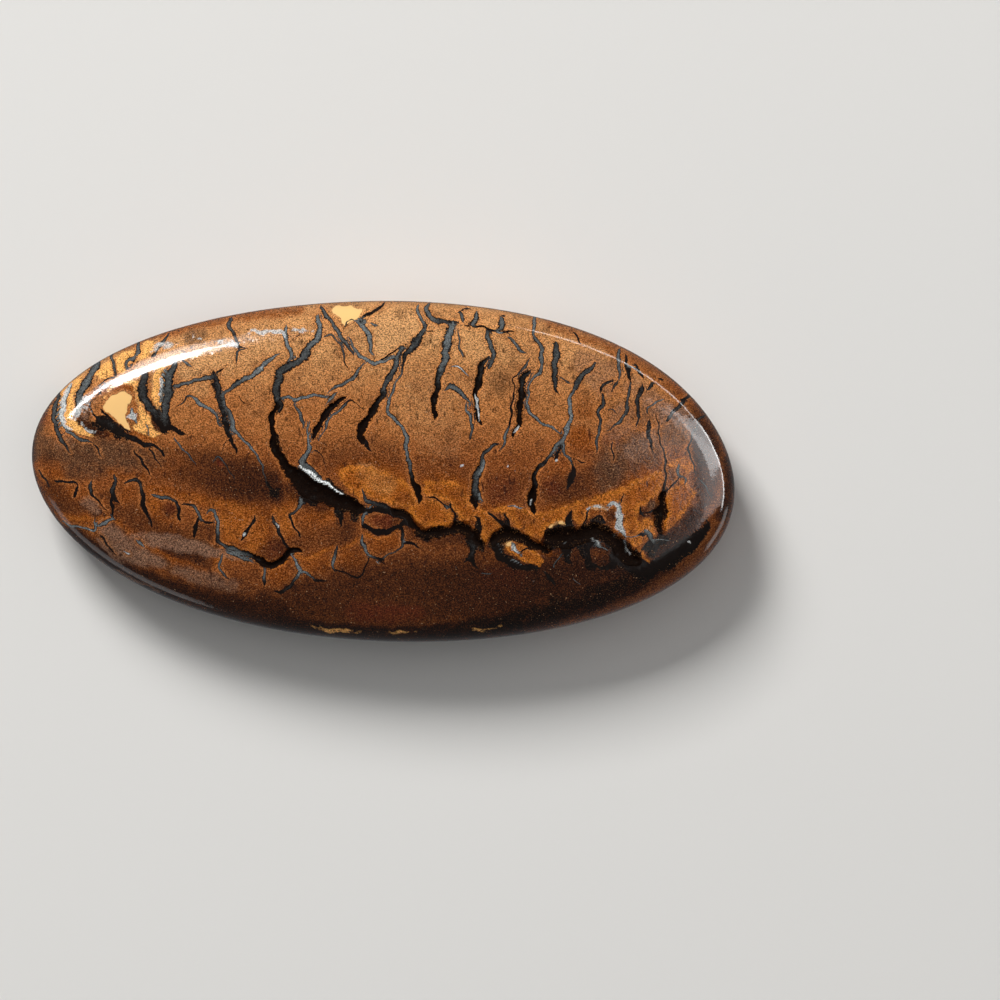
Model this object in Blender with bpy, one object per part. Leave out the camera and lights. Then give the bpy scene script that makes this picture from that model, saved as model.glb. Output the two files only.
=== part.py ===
"""A polished boulder opal stone, lying on its ground base with the polished face up.

It is one natural piece: a freeform oval of brown ironstone, gently domed on top, with a
rounded shoulder, a steep flank that turns in below the girth, and a flat base. Thin veins of
opal cross it. Where a vein is open or has weathered out, it is a shallow groove in the face.
"""
import math

import bpy
import numpy as np

MM = 0.001

# Overall size. The girth is the widest line, and all of the outline is measured there.
LENGTH = 37.7 * MM
WIDTH = 18.3 * MM
THICKNESS = 6.5 * MM
GIRTH_HEIGHT = 2.6 * MM

# Crown: the face domes by this much, and the shoulder makes up the rest of the height.
DOME_RISE = 1.3 * MM
SHOULDER_RISE = THICKNESS - GIRTH_HEIGHT - DOME_RISE
SHOULDER_WIDTH = 2.5 * MM
SHOULDER_SQUARENESS = 3.0     # 2 would be a quarter ellipse, and more is squarer
SHOULDER_LEAN_X = -0.25       # the shoulder is narrower at the right end than at the left
SHOULDER_LEAN_Y = 0.08        # and a little wider along the back edge
SWELL = 0.05 * MM             # the hand-ground face is not a perfect dome

# Flank: from the girth down to the base edge.
BASE_INSET = 1.9 * MM
FLANK_TURN = math.radians(74)

# Outline: an oval whose radius is changed by a few waves round the girth.
OVAL_LEAN = -0.033            # second wave: the oval leans to the upper left
OVAL_EGG = -0.011             # third wave: the two ends differ
OVAL_FULLNESS = -0.008        # fourth wave: flatter long sides
OVAL_SKEW = -0.007            # fourth wave, turned

# Mesh density of the solid.
FACE_COLUMNS = 46
FACE_ROWS = 22
SHOULDER_STEPS = 6
FLANK_STEPS = 5

# Grooves, in millimetres: the path seen from above, the half width at each point, the depth.
GROOVES = {
    "left_vein": (
        [(-5.6, 3.6), (-5.85, 3.0), (-5.85, 2.0), (-5.75, 1.3), (-5.45, 0.75), (-5.0, 0.1),
         (-4.4, -0.5), (-3.7, -0.95), (-2.9, -1.35), (-2.1, -1.65), (-1.3, -2.0)],
        [0.08, 0.17, 0.17, 0.20, 0.24, 0.34, 0.42, 0.50, 0.46, 0.42, 0.25], 0.20),
    "lens_vein": (
        [(-2.0, 3.9), (-2.45, 3.65), (-2.9, 3.2), (-3.3, 2.6), (-3.55, 2.2), (-3.6, 1.8)],
        [0.08, 0.18, 0.20, 0.18, 0.17, 0.08], 0.16),
    "centre_vein": (
        [(-0.05, 4.0), (-0.4, 3.3), (-0.7, 2.9), (-0.95, 2.5), (-1.15, 2.0), (-1.2, 1.65)],
        [0.08, 0.20, 0.20, 0.22, 0.26, 0.12], 0.18),
    "centre_tail": (
        [(1.55, -0.1), (1.7, -0.6), (1.88, -1.1), (1.95, -1.6)],
        [0.07, 0.16, 0.22, 0.08], 0.16),
    "right_centre_vein": (
        [(3.05, 5.2), (2.95, 4.7), (2.85, 4.2), (2.76, 3.5), (2.75, 2.85)],
        [0.07, 0.19, 0.19, 0.17, 0.10], 0.18),
    "glinting_vein": (
        [(5.55, 6.0), (5.3, 5.6), (5.15, 5.0), (5.1, 4.5), (4.97, 4.0), (5.0, 3.5), (5.1, 3.0),
         (5.25, 2.6)],
        [0.08, 0.20, 0.22, 0.20, 0.17, 0.15, 0.14, 0.08], 0.20),
    "parallel_vein": (
        [(7.8, 5.3), (7.5, 4.9), (7.4, 4.3), (7.35, 3.6), (7.3, 3.0), (7.2, 2.4), (7.0, 1.85)],
        [0.08, 0.17, 0.19, 0.19, 0.18, 0.16, 0.08], 0.18),
    "middle_crescent": (
        [(5.3, 0.6), (5.1, 0.0), (4.92, -0.5), (4.87, -1.0), (4.92, -1.5), (5.0, -1.95)],
        [0.10, 0.20, 0.24, 0.24, 0.24, 0.10], 0.15),
    "right_crescent": (
        [(8.3, 0.15), (8.12, -0.2), (8.1, -0.6), (8.05, -1.0), (7.97, -1.5), (8.0, -2.15)],
        [0.08, 0.13, 0.17, 0.22, 0.27, 0.14], 0.22),
    "front_band": (
        [(0.6, -2.05), (1.1, -2.2), (1.5, -2.6), (1.85, -3.05), (2.3, -3.35), (3.1, -3.2),
         (3.9, -3.0), (4.6, -3.2), (5.0, -3.6), (5.3, -4.0)],
        [0.10, 0.18, 0.17, 0.18, 0.24, 0.28, 0.32, 0.34, 0.28, 0.12], 0.15),
    "front_hook": (
        [(5.8, -3.75), (6.45, -3.35), (7.1, -3.45), (7.7, -3.72), (8.3, -4.05), (8.8, -4.35)],
        [0.15, 0.38, 0.30, 0.24, 0.28, 0.14], 0.16),
    "front_right_hollow": (
        [(9.0, -3.55), (9.8, -3.55), (10.7, -3.35), (11.6, -3.2), (12.3, -3.6), (12.8, -4.2),
         (13.4, -4.75)],
        [0.30, 0.50, 0.45, 0.33, 0.34, 0.42, 0.22], 0.14),
    "front_left_band": (
        [(-8.2, -4.08), (-7.4, -4.3), (-6.7, -4.65), (-6.1, -4.95), (-5.6, -4.93), (-5.2, -4.6),
         (-4.85, -4.25), (-4.3, -4.25)],
        [0.08, 0.14, 0.18, 0.22, 0.20, 0.16, 0.15, 0.08], 0.14),
    "right_end_wedge": (
        [(14.97, -1.2), (14.85, -1.8), (14.8, -2.4), (14.82, -3.1)],
        [0.10, 0.30, 0.34, 0.14], 0.16),
}
KNIFE_TOP = 0.5 * MM          # a groove's knife stands this far above the face


def wave_radius(angle):
    """Radius of the unit oval: one, plus its second, third and fourth waves."""
    return (1.0 + OVAL_LEAN * np.sin(2 * angle) + OVAL_EGG * np.cos(3 * angle)
            + OVAL_FULLNESS * np.cos(4 * angle) + OVAL_SKEW * np.sin(4 * angle))


def unit_box():
    """Lowest and highest corner of the unit oval, found on a fine walk round it."""
    angle = np.linspace(0.0, 2 * math.pi, 1441)
    walk = wave_radius(angle) * np.array([np.cos(angle), np.sin(angle)])
    return walk.min(axis=1), walk.max(axis=1)


UNIT_LOW, UNIT_HIGH = unit_box()
UNIT_CENTRE = (UNIT_LOW + UNIT_HIGH) / 2
STRETCH = np.array([LENGTH, WIDTH]) / (UNIT_HIGH - UNIT_LOW)


def girth(angle):
    """Point of the girth: the unit oval moved to its box's centre and stretched to size."""
    radius = wave_radius(angle)
    x = (radius * np.cos(angle) - UNIT_CENTRE[0]) * STRETCH[0]
    y = (radius * np.sin(angle) - UNIT_CENTRE[1]) * STRETCH[1]
    return x, y


def outward(angle):
    """Outward direction of the girth: a quarter turn from the way along it."""
    step = 1e-4
    x0, y0 = girth(angle - step)
    x1, y1 = girth(angle + step)
    length = np.hypot(x1 - x0, y1 - y0)
    return (y1 - y0) / length, (x0 - x1) / length


def shoulder_width(angle):
    """Width of the rounded shoulder, wider at the left end and along the back."""
    return SHOULDER_WIDTH * (1 + SHOULDER_LEAN_X * np.cos(angle) + SHOULDER_LEAN_Y * np.sin(angle))


def plan_place(x, y):
    """Angle round the oval and reach from its centre, 0 to 1, of a point seen from above."""
    across = x / STRETCH[0] + UNIT_CENTRE[0]
    up = y / STRETCH[1] + UNIT_CENTRE[1]
    angle = np.arctan2(up, across)
    return angle, np.hypot(across, up) / wave_radius(angle)


def swell(x, y):
    """Slow rise and fall of the face: three crossing waves of 10 to 20 mm."""
    u, v = x / MM, y / MM
    return SWELL * (np.sin(0.42 * u + 0.9) + np.sin(0.31 * u - 0.52 * v) + np.sin(0.6 * v + 2.1)) / 3


def crown_height(x, y, inset, angle):
    """Height of the crown: girth, a squarish quarter round of shoulder, a parabola of dome, swell."""
    _, reach = plan_place(x, y)
    to_go = 1.0 - np.clip(inset / shoulder_width(angle), 0.0, 1.0)
    rise = np.clip(1.0 - to_go ** SHOULDER_SQUARENESS, 0.0, 1.0) ** (1 / SHOULDER_SQUARENESS)
    dome = DOME_RISE * (1.0 - np.clip(reach, 0.0, 1.0) ** 2)
    return GIRTH_HEIGHT + SHOULDER_RISE * rise + dome + swell(x, y) * rise


def face_grid():
    """The domed face: a square grid drawn into a disc, and the disc into the inset oval."""
    across, up = np.meshgrid(np.linspace(-1, 1, FACE_COLUMNS + 1), np.linspace(-1, 1, FACE_ROWS + 1))
    disc_x = across * np.sqrt(1 - up ** 2 / 2)
    disc_y = up * np.sqrt(1 - across ** 2 / 2)
    angle = np.arctan2(disc_y, disc_x)
    reach = np.hypot(disc_x, disc_y)
    x, y = girth(angle)
    nx, ny = outward(angle)
    width = shoulder_width(angle)
    x = reach * (x - width * nx)
    y = reach * (y - width * ny)
    z = crown_height(x, y, width, angle)
    return np.column_stack([x.ravel(), y.ravel(), z.ravel()]), angle


def rim_of_grid(angle):
    """Vertex numbers and angles along the grid's edge, anticlockwise seen from above."""
    rows, columns = angle.shape
    front = [(0, c) for c in range(columns)]
    right = [(r, columns - 1) for r in range(1, rows)]
    back = [(rows - 1, c) for c in range(columns - 2, -1, -1)]
    left = [(r, 0) for r in range(rows - 2, 0, -1)]
    walk = front + right + back + left
    numbers = [r * columns + c for r, c in walk]
    return numbers, np.array([angle[r, c] for r, c in walk])


def shoulder_ring(turn, angle):
    """Ring of the shoulder: it turns the squarish quarter round from the face (0) to the girth (1)."""
    x, y = girth(angle)
    nx, ny = outward(angle)
    out, up = math.sin(turn * math.pi / 2), math.cos(turn * math.pi / 2)
    radius = (out ** SHOULDER_SQUARENESS + up ** SHOULDER_SQUARENESS) ** (-1 / SHOULDER_SQUARENESS)
    inset = shoulder_width(angle) * (1 - out * radius)
    x = x - inset * nx
    y = y - inset * ny
    return np.column_stack([x, y, crown_height(x, y, inset, angle)])


def flank_ring(turn, angle):
    """Ring of the flank: it turns in from the girth (0) to the edge of the flat base (1)."""
    x, y = girth(angle)
    nx, ny = outward(angle)
    lean = turn * FLANK_TURN
    inset = BASE_INSET * (1 - math.cos(lean)) / (1 - math.cos(FLANK_TURN))
    drop = math.sin(lean) / math.sin(FLANK_TURN)
    top = crown_height(x, y, 0.0, angle)
    return np.column_stack([x - inset * nx, y - inset * ny, top * (1 - drop)])


def stone_mesh():
    """The closed stone: face grid, shoulder and flank rings, and the flat base as one face."""
    points, angle = face_grid()
    rim, rim_angle = rim_of_grid(angle)
    columns = FACE_COLUMNS + 1
    faces = [(r * columns + c, r * columns + c + 1, (r + 1) * columns + c + 1, (r + 1) * columns + c)
             for r in range(FACE_ROWS) for c in range(FACE_COLUMNS)]
    rings = [shoulder_ring(step / SHOULDER_STEPS, rim_angle) for step in range(1, SHOULDER_STEPS + 1)]
    rings += [flank_ring(step / FLANK_STEPS, rim_angle) for step in range(1, FLANK_STEPS + 1)]
    count = len(rim)
    upper = rim
    for ring in rings:
        lower = list(range(len(points), len(points) + count))
        points = np.vstack([points, ring])
        faces += [(upper[i], lower[i], lower[(i + 1) % count], upper[(i + 1) % count])
                  for i in range(count)]
        upper = lower
    faces.append(tuple(reversed(upper)))
    mesh = bpy.data.meshes.new("boulder_opal_stone")
    mesh.from_pydata(points.tolist(), [], faces)
    mesh.validate()
    return mesh


def groove_knife(name, path, half_widths, depth):
    """A closed bar along the path whose lower side is the groove: sloping walls, flat floor."""
    path = np.array(path) * MM
    half = np.array(half_widths)[:, None] * MM
    along = np.gradient(path, axis=0)
    along /= np.hypot(along[:, 0], along[:, 1])[:, None]
    side = np.column_stack([-along[:, 1], along[:, 0]])
    angle, reach = plan_place(path[:, 0], path[:, 1])
    edge_x, edge_y = girth(angle)
    nx, ny = outward(angle)
    inset = (1 - reach) * (edge_x * nx + edge_y * ny)
    face = crown_height(path[:, 0], path[:, 1], inset, angle)
    section = [(-1.25, KNIFE_TOP), (-0.95, -0.15 * depth * MM), (-0.45, -depth * MM),
               (0.45, -depth * MM), (0.95, -0.15 * depth * MM), (1.25, KNIFE_TOP)]
    rows = [np.column_stack([path + side * half * out, face + height]) for out, height in section]
    points = np.stack(rows, axis=1).reshape(-1, 3)
    size = len(section)
    faces = [(s * size + k, s * size + (k + 1) % size, (s + 1) * size + (k + 1) % size,
              (s + 1) * size + k) for s in range(len(path) - 1) for k in range(size)]
    last = (len(path) - 1) * size
    faces += [tuple(reversed(range(size))), tuple(range(last, last + size))]
    mesh = bpy.data.meshes.new(name)
    mesh.from_pydata(points.tolist(), [], faces)
    mesh.validate()
    knife = bpy.data.objects.new(name, mesh)
    bpy.context.collection.objects.link(knife)
    knife.hide_render = True
    knife.display_type = "WIRE"
    return knife


def ironstone():
    """Brown ironstone with a polished face."""
    material = bpy.data.materials.new("polished_ironstone")
    material.use_nodes = True
    shader = material.node_tree.nodes["Principled BSDF"]
    shader.inputs["Base Color"].default_value = (0.26, 0.085, 0.020, 1.0)
    shader.inputs["Roughness"].default_value = 0.22
    shader.inputs["Metallic"].default_value = 0.0
    return material


def build_stone():
    """The stone, with each open vein cut into its face."""
    mesh = stone_mesh()
    stone = bpy.data.objects.new("boulder_opal_stone", mesh)
    bpy.context.collection.objects.link(stone)
    mesh.materials.append(ironstone())
    mesh.shade_smooth()
    mesh.set_sharp_from_angle(angle=math.radians(35))
    for name, (path, half_widths, depth) in GROOVES.items():
        knife = groove_knife("knife_" + name, path, half_widths, depth)
        cut = stone.modifiers.new("cut_" + name, "BOOLEAN")
        cut.operation = "DIFFERENCE"
        cut.solver = "EXACT"
        cut.object = knife
    return stone


for thing in list(bpy.data.objects):
    bpy.data.objects.remove(thing)
build_stone()
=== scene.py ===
import math

import bpy
import numpy as np
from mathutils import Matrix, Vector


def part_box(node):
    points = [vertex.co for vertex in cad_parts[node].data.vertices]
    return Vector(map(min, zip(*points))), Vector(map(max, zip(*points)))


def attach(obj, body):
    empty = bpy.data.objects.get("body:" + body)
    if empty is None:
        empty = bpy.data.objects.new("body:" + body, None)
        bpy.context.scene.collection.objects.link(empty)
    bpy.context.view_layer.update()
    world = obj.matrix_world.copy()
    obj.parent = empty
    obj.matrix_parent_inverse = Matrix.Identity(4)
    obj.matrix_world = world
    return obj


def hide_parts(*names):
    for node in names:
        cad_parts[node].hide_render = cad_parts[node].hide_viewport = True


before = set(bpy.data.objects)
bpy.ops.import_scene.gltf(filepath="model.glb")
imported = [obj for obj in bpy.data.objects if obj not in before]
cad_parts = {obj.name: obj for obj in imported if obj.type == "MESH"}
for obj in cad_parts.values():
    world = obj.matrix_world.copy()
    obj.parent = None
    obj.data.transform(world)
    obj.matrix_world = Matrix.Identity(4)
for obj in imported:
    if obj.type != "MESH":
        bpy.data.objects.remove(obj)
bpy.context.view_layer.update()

# The stone's form
# One natural piece of brown ironstone with opal veins, sawn from a nodule, ground on wet
# diamond wheels into a freeform oval with a low dome, and polished. The base is ground flat.
STONE = "boulder_opal_stone"
MM = 0.001
stone_low, stone_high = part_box(STONE)
LENGTH = stone_high[0] - stone_low[0]
WIDTH = stone_high[1] - stone_low[1]
GIRTH_HEIGHT = 2.6 * MM
DOME_RISE = 1.3 * MM
SHOULDER_RISE = 2.6 * MM
SHOULDER_WIDTH = 2.5 * MM
SHOULDER_SQUARENESS = 3.0
SHOULDER_LEAN_X = -0.25
SHOULDER_LEAN_Y = 0.08
SWELL = 0.05 * MM
BASE_INSET = 1.9 * MM
FLANK_TURN = math.radians(74)
OVAL_LEAN = -0.033
OVAL_EGG = -0.011
OVAL_FULLNESS = -0.008
OVAL_SKEW = -0.007

# Grid sizes: about 0.1 mm between points on the face, 0.2 mm on the base.
FACE_COLUMNS = 320
FACE_ROWS = 156
SHOULDER_STEPS = 28
FLANK_STEPS = 12


def wave_radius(angle):
    """Radius of the unit oval: one, plus its second, third and fourth waves."""
    return (1.0 + OVAL_LEAN * np.sin(2 * angle) + OVAL_EGG * np.cos(3 * angle)
            + OVAL_FULLNESS * np.cos(4 * angle) + OVAL_SKEW * np.sin(4 * angle))


QUARTER_DEGREES = 1440
walk_angle = np.linspace(0.0, 2 * math.pi, QUARTER_DEGREES + 1)
walk = wave_radius(walk_angle) * np.array([np.cos(walk_angle), np.sin(walk_angle)])
OVAL_CENTRE = (walk.min(axis=1) + walk.max(axis=1)) / 2
STRETCH = np.array([LENGTH, WIDTH]) / (walk.max(axis=1) - walk.min(axis=1))


def girth(angle):
    """Point of the girth: the unit oval moved to its box's centre and stretched to size."""
    radius = wave_radius(angle)
    x = (radius * np.cos(angle) - OVAL_CENTRE[0]) * STRETCH[0]
    y = (radius * np.sin(angle) - OVAL_CENTRE[1]) * STRETCH[1]
    return x, y


def outward(angle):
    """Outward direction of the girth: a quarter turn from the way along it."""
    step = 1e-4
    x0, y0 = girth(angle - step)
    x1, y1 = girth(angle + step)
    length = np.hypot(x1 - x0, y1 - y0)
    return (y1 - y0) / length, (x0 - x1) / length


def shoulder_width(angle):
    """Width of the rounded shoulder: a mean, plus a cosine and a sine share of the angle."""
    return SHOULDER_WIDTH * (1 + SHOULDER_LEAN_X * np.cos(angle) + SHOULDER_LEAN_Y * np.sin(angle))


def reach_of(x, y):
    """Reach of a point from the centre, 1 on the girth: its unit distance over the wave radius."""
    across = x / STRETCH[0] + OVAL_CENTRE[0]
    up = y / STRETCH[1] + OVAL_CENTRE[1]
    return np.hypot(across, up) / wave_radius(np.arctan2(up, across))


def swell(x, y):
    """Slow rise and fall of the hand-ground face: three crossing waves of 10 to 15 mm."""
    u, v = x / MM, y / MM
    return SWELL * (np.sin(0.42 * u + 0.9) + np.sin(0.31 * u - 0.52 * v) + np.sin(0.6 * v + 2.1)) / 3


def crown_height(x, y, inset, angle):
    """Girth height, plus a squarish quarter round of shoulder, a parabola of dome and the swell."""
    to_go = 1.0 - np.clip(inset / shoulder_width(angle), 0.0, 1.0)
    rise = np.clip(1.0 - to_go ** SHOULDER_SQUARENESS, 0.0, 1.0) ** (1 / SHOULDER_SQUARENESS)
    dome = DOME_RISE * (1.0 - np.clip(reach_of(x, y), 0.0, 1.0) ** 2)
    return GIRTH_HEIGHT + SHOULDER_RISE * rise + dome + swell(x, y) * rise


def oval_grid(columns, rows, inset_of):
    """Square grid drawn into a disc (x times the root of one less half y squared, and the other
    way round), then each disc radius stretched to the girth less its inset."""
    across, up = np.meshgrid(np.linspace(-1, 1, columns + 1), np.linspace(-1, 1, rows + 1))
    disc_x = across * np.sqrt(1 - up ** 2 / 2)
    disc_y = up * np.sqrt(1 - across ** 2 / 2)
    angle = np.arctan2(disc_y, disc_x)
    reach = np.hypot(disc_x, disc_y)
    x, y = girth(angle)
    nx, ny = outward(angle)
    inset = inset_of(angle)
    return reach * (x - inset * nx), reach * (y - inset * ny), angle


def rim_walk(columns, rows):
    """Point numbers along a grid's edge, anticlockwise seen from above, from its first corner."""
    across = columns + 1
    front = np.arange(columns)
    right = np.arange(rows) * across + columns
    back = rows * across + np.arange(columns, 0, -1)
    left = np.arange(rows, 0, -1) * across
    return np.concatenate([front, right, back, left])


def grid_faces(columns, rows):
    """Four corners of each cell of a grid, anticlockwise seen from above."""
    corner = (np.arange(rows)[:, None] * (columns + 1) + np.arange(columns)).ravel()
    return np.column_stack([corner, corner + 1, corner + columns + 2, corner + columns + 1])


def shoulder_ring(turn, angle):
    """Squarish quarter round: sine and cosine of the turn, over the root of their power sum."""
    x, y = girth(angle)
    nx, ny = outward(angle)
    out, up = math.sin(turn * math.pi / 2), math.cos(turn * math.pi / 2)
    radius = (out ** SHOULDER_SQUARENESS + up ** SHOULDER_SQUARENESS) ** (-1 / SHOULDER_SQUARENESS)
    inset = shoulder_width(angle) * (1 - out * radius)
    x, y = x - inset * nx, y - inset * ny
    return np.column_stack([x, y, crown_height(x, y, inset, angle)])


def flank_ring(turn, angle):
    """Flank: its inset grows as one less the cosine of the turn, and it drops as the sine."""
    x, y = girth(angle)
    nx, ny = outward(angle)
    lean = turn * FLANK_TURN
    inset = BASE_INSET * (1 - math.cos(lean)) / (1 - math.cos(FLANK_TURN))
    height = crown_height(x, y, 0.0, angle) * (1 - math.sin(lean) / math.sin(FLANK_TURN))
    return np.column_stack([x - inset * nx, y - inset * ny, height])


face_x, face_y, face_angle = oval_grid(FACE_COLUMNS, FACE_ROWS, shoulder_width)
face_z = crown_height(face_x, face_y, shoulder_width(face_angle), face_angle)
stone_points = np.column_stack([face_x.ravel(), face_y.ravel(), face_z.ravel()])
stone_quads = [grid_faces(FACE_COLUMNS, FACE_ROWS)]
stone_thirds = []

upper = rim_walk(FACE_COLUMNS, FACE_ROWS)
rim_angle = face_angle.ravel()[upper]
for step in range(1, SHOULDER_STEPS + 1):
    lower = np.arange(len(upper)) + len(stone_points)
    stone_points = np.vstack([stone_points, shoulder_ring(step / SHOULDER_STEPS, rim_angle)])
    stone_quads.append(np.column_stack([upper, lower, np.roll(lower, -1), np.roll(upper, -1)]))
    upper = lower
top_count = len(stone_points)

# Below the girth every second point is enough, and one ring of triangles joins the two counts.
flank_angle = rim_angle[::2]
flank_turns = np.arange(1, FLANK_STEPS + 1) / FLANK_STEPS
lower = np.arange(len(flank_angle)) + len(stone_points)
stone_points = np.vstack([stone_points, flank_ring(flank_turns[0], flank_angle)])
first, middle, last = upper[::2], upper[1::2], np.roll(upper[::2], -1)
stone_thirds += [np.column_stack([first, lower, middle]),
                 np.column_stack([middle, lower, np.roll(lower, -1)]),
                 np.column_stack([middle, np.roll(lower, -1), last])]
upper = lower
for turn in flank_turns[1:]:
    lower = np.arange(len(upper)) + len(stone_points)
    stone_points = np.vstack([stone_points, flank_ring(turn, flank_angle)])
    stone_quads.append(np.column_stack([upper, lower, np.roll(lower, -1), np.roll(upper, -1)]))
    upper = lower

# The flat base is a grid half as fine, whose edge is the last ring of the flank.
base_columns, base_rows = FACE_COLUMNS // 2, FACE_ROWS // 2
base_x, base_y, _ = oval_grid(base_columns, base_rows, lambda angle: BASE_INSET)
base_walk = rim_walk(base_columns, base_rows)
inner = np.setdiff1d(np.arange(base_x.size), base_walk)
renumber = np.empty(base_x.size, dtype=int)
renumber[base_walk] = upper
renumber[inner] = np.arange(len(inner)) + len(stone_points)
base_points = np.column_stack([base_x.ravel(), base_y.ravel(), np.zeros(base_x.size)])
flank_count = len(stone_points)
stone_points = np.vstack([stone_points, base_points[inner]])
stone_quads.append(renumber[grid_faces(base_columns, base_rows)][:, ::-1])

# The opal veins and the colours of the ironstone, with painted highlights, reflections and shade
# Silica filled the cracks of the ironstone, and left seams of grey to black opal that wander
# and fork. Where a seam stayed open or weathered out, the polished face has a narrow groove.
# Each seam is drawn as points in millimetres: x, y, half width, and tone from
# 0, black, through 1, grey-blue, to 1.6 and more, white. An open one starts with its depth.
# Tones of 1.5 and more paint glints of light in white.
OPEN_SEAMS = [
    # Left arm, which widens into the black wedge under the centre.
    (0.20, [(-5.6, 3.6, .10, 0), (-5.85, 3.0, .17, 0), (-5.85, 2.0, .17, 0), (-5.75, 1.3, .20, 0),
            (-5.45, .75, .24, 0), (-5.0, .1, .34, 0), (-4.4, -.5, .42, 0), (-3.7, -.95, .50, 0),
            (-2.9, -1.35, .46, 0), (-2.1, -1.65, .42, 0), (-1.3, -2.0, .28, 0)]),
    # The lens above it, and the two slanting arms of the centre.
    (0.16, [(-2.0, 3.9, .10, 0), (-2.45, 3.65, .18, 0), (-2.9, 3.2, .20, 0), (-3.3, 2.6, .18, 0),
            (-3.55, 2.2, .17, 0), (-3.6, 1.8, .12, 0)]),
    (0.18, [(-.05, 4.0, .17, .2), (-.4, 3.3, .20, .1), (-.7, 2.9, .20, 0), (-.95, 2.5, .22, 0),
            (-1.15, 2.0, .26, 0), (-1.2, 1.65, .16, 0)]),
    (0.16, [(1.55, -.1, .09, .3), (1.7, -.6, .16, 0), (1.88, -1.1, .22, 0), (1.95, -1.6, .1, 0)]),
    # The row of upright seams right of the centre.
    (0.18, [(3.05, 5.2, .20, .4), (2.95, 4.7, .19, .2), (2.85, 4.2, .19, .1), (2.76, 3.5, .17, 0),
            (2.75, 2.85, .13, 0)]),
    (0.20, [(5.55, 6.0, .12, .3), (5.3, 5.6, .20, .2), (5.15, 5.0, .22, .1), (5.1, 4.5, .20, 0),
            (4.97, 4.0, .17, 0), (5.0, 3.5, .15, 0), (5.1, 3.0, .14, 0), (5.25, 2.6, .10, 0)]),
    (0.18, [(7.8, 5.3, .12, .3), (7.5, 4.9, .17, .2), (7.4, 4.3, .19, .1), (7.35, 3.6, .19, 0),
            (7.3, 3.0, .18, 0), (7.2, 2.4, .16, 0), (7.0, 1.85, .08, 0)]),
    (0.15, [(5.3, .6, .14, .7), (5.15, .1, .20, .5), (4.97, -.5, .25, .4), (4.9, -1.0, .25, .4),
            (4.95, -1.5, .25, .1), (5.0, -1.95, .12, 0)]),
    (0.22, [(8.3, .15, .11, .3), (8.12, -.2, .13, .2), (8.1, -.6, .17, .1), (8.05, -1.0, .22, 0),
            (7.97, -1.5, .27, 0), (8.0, -2.15, .16, 0)]),
    (0.14, [(-8.2, -4.08, .12, .6), (-7.4, -4.3, .14, .5), (-6.7, -4.65, .18, .1),
            (-6.1, -4.95, .22, 0), (-5.6, -4.93, .20, 0), (-5.2, -4.6, .16, 0),
            (-4.85, -4.25, .15, 0), (-4.3, -4.25, .10, 0)]),
]
# Along the front the opal fills only the bottom of wide shallow hollows.
FRONT_HOLLOWS = [
    (0.15, [(.6, -2.05, .14, 0), (1.1, -2.2, .18, 0), (1.5, -2.6, .17, 0), (1.85, -3.05, .18, 0),
            (2.3, -3.35, .24, 0), (3.1, -3.2, .28, 0), (3.9, -3.0, .32, 0), (4.6, -3.2, .34, 0),
            (5.0, -3.6, .28, 0), (5.3, -4.0, .14, 0)]),
    (0.16, [(5.8, -3.75, .2, 0), (6.45, -3.35, .38, 0), (7.1, -3.45, .30, 0), (7.7, -3.72, .24, 0),
            (8.3, -4.05, .28, 0), (8.8, -4.35, .16, 0)]),
    (0.14, [(9.0, -3.55, .40, 0), (9.8, -3.55, .50, 0), (10.7, -3.35, .45, 0), (11.6, -3.2, .35, 0),
            (12.3, -3.6, .36, 0), (12.8, -4.2, .42, 0), (13.4, -4.75, .3, 0)]),
    (0.16, [(14.97, -1.2, .12, 0), (14.85, -1.8, .30, 0), (14.8, -2.4, .34, 0),
            (14.82, -3.1, .2, 0)]),
]
HOLLOW_SHARE = 0.4

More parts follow.
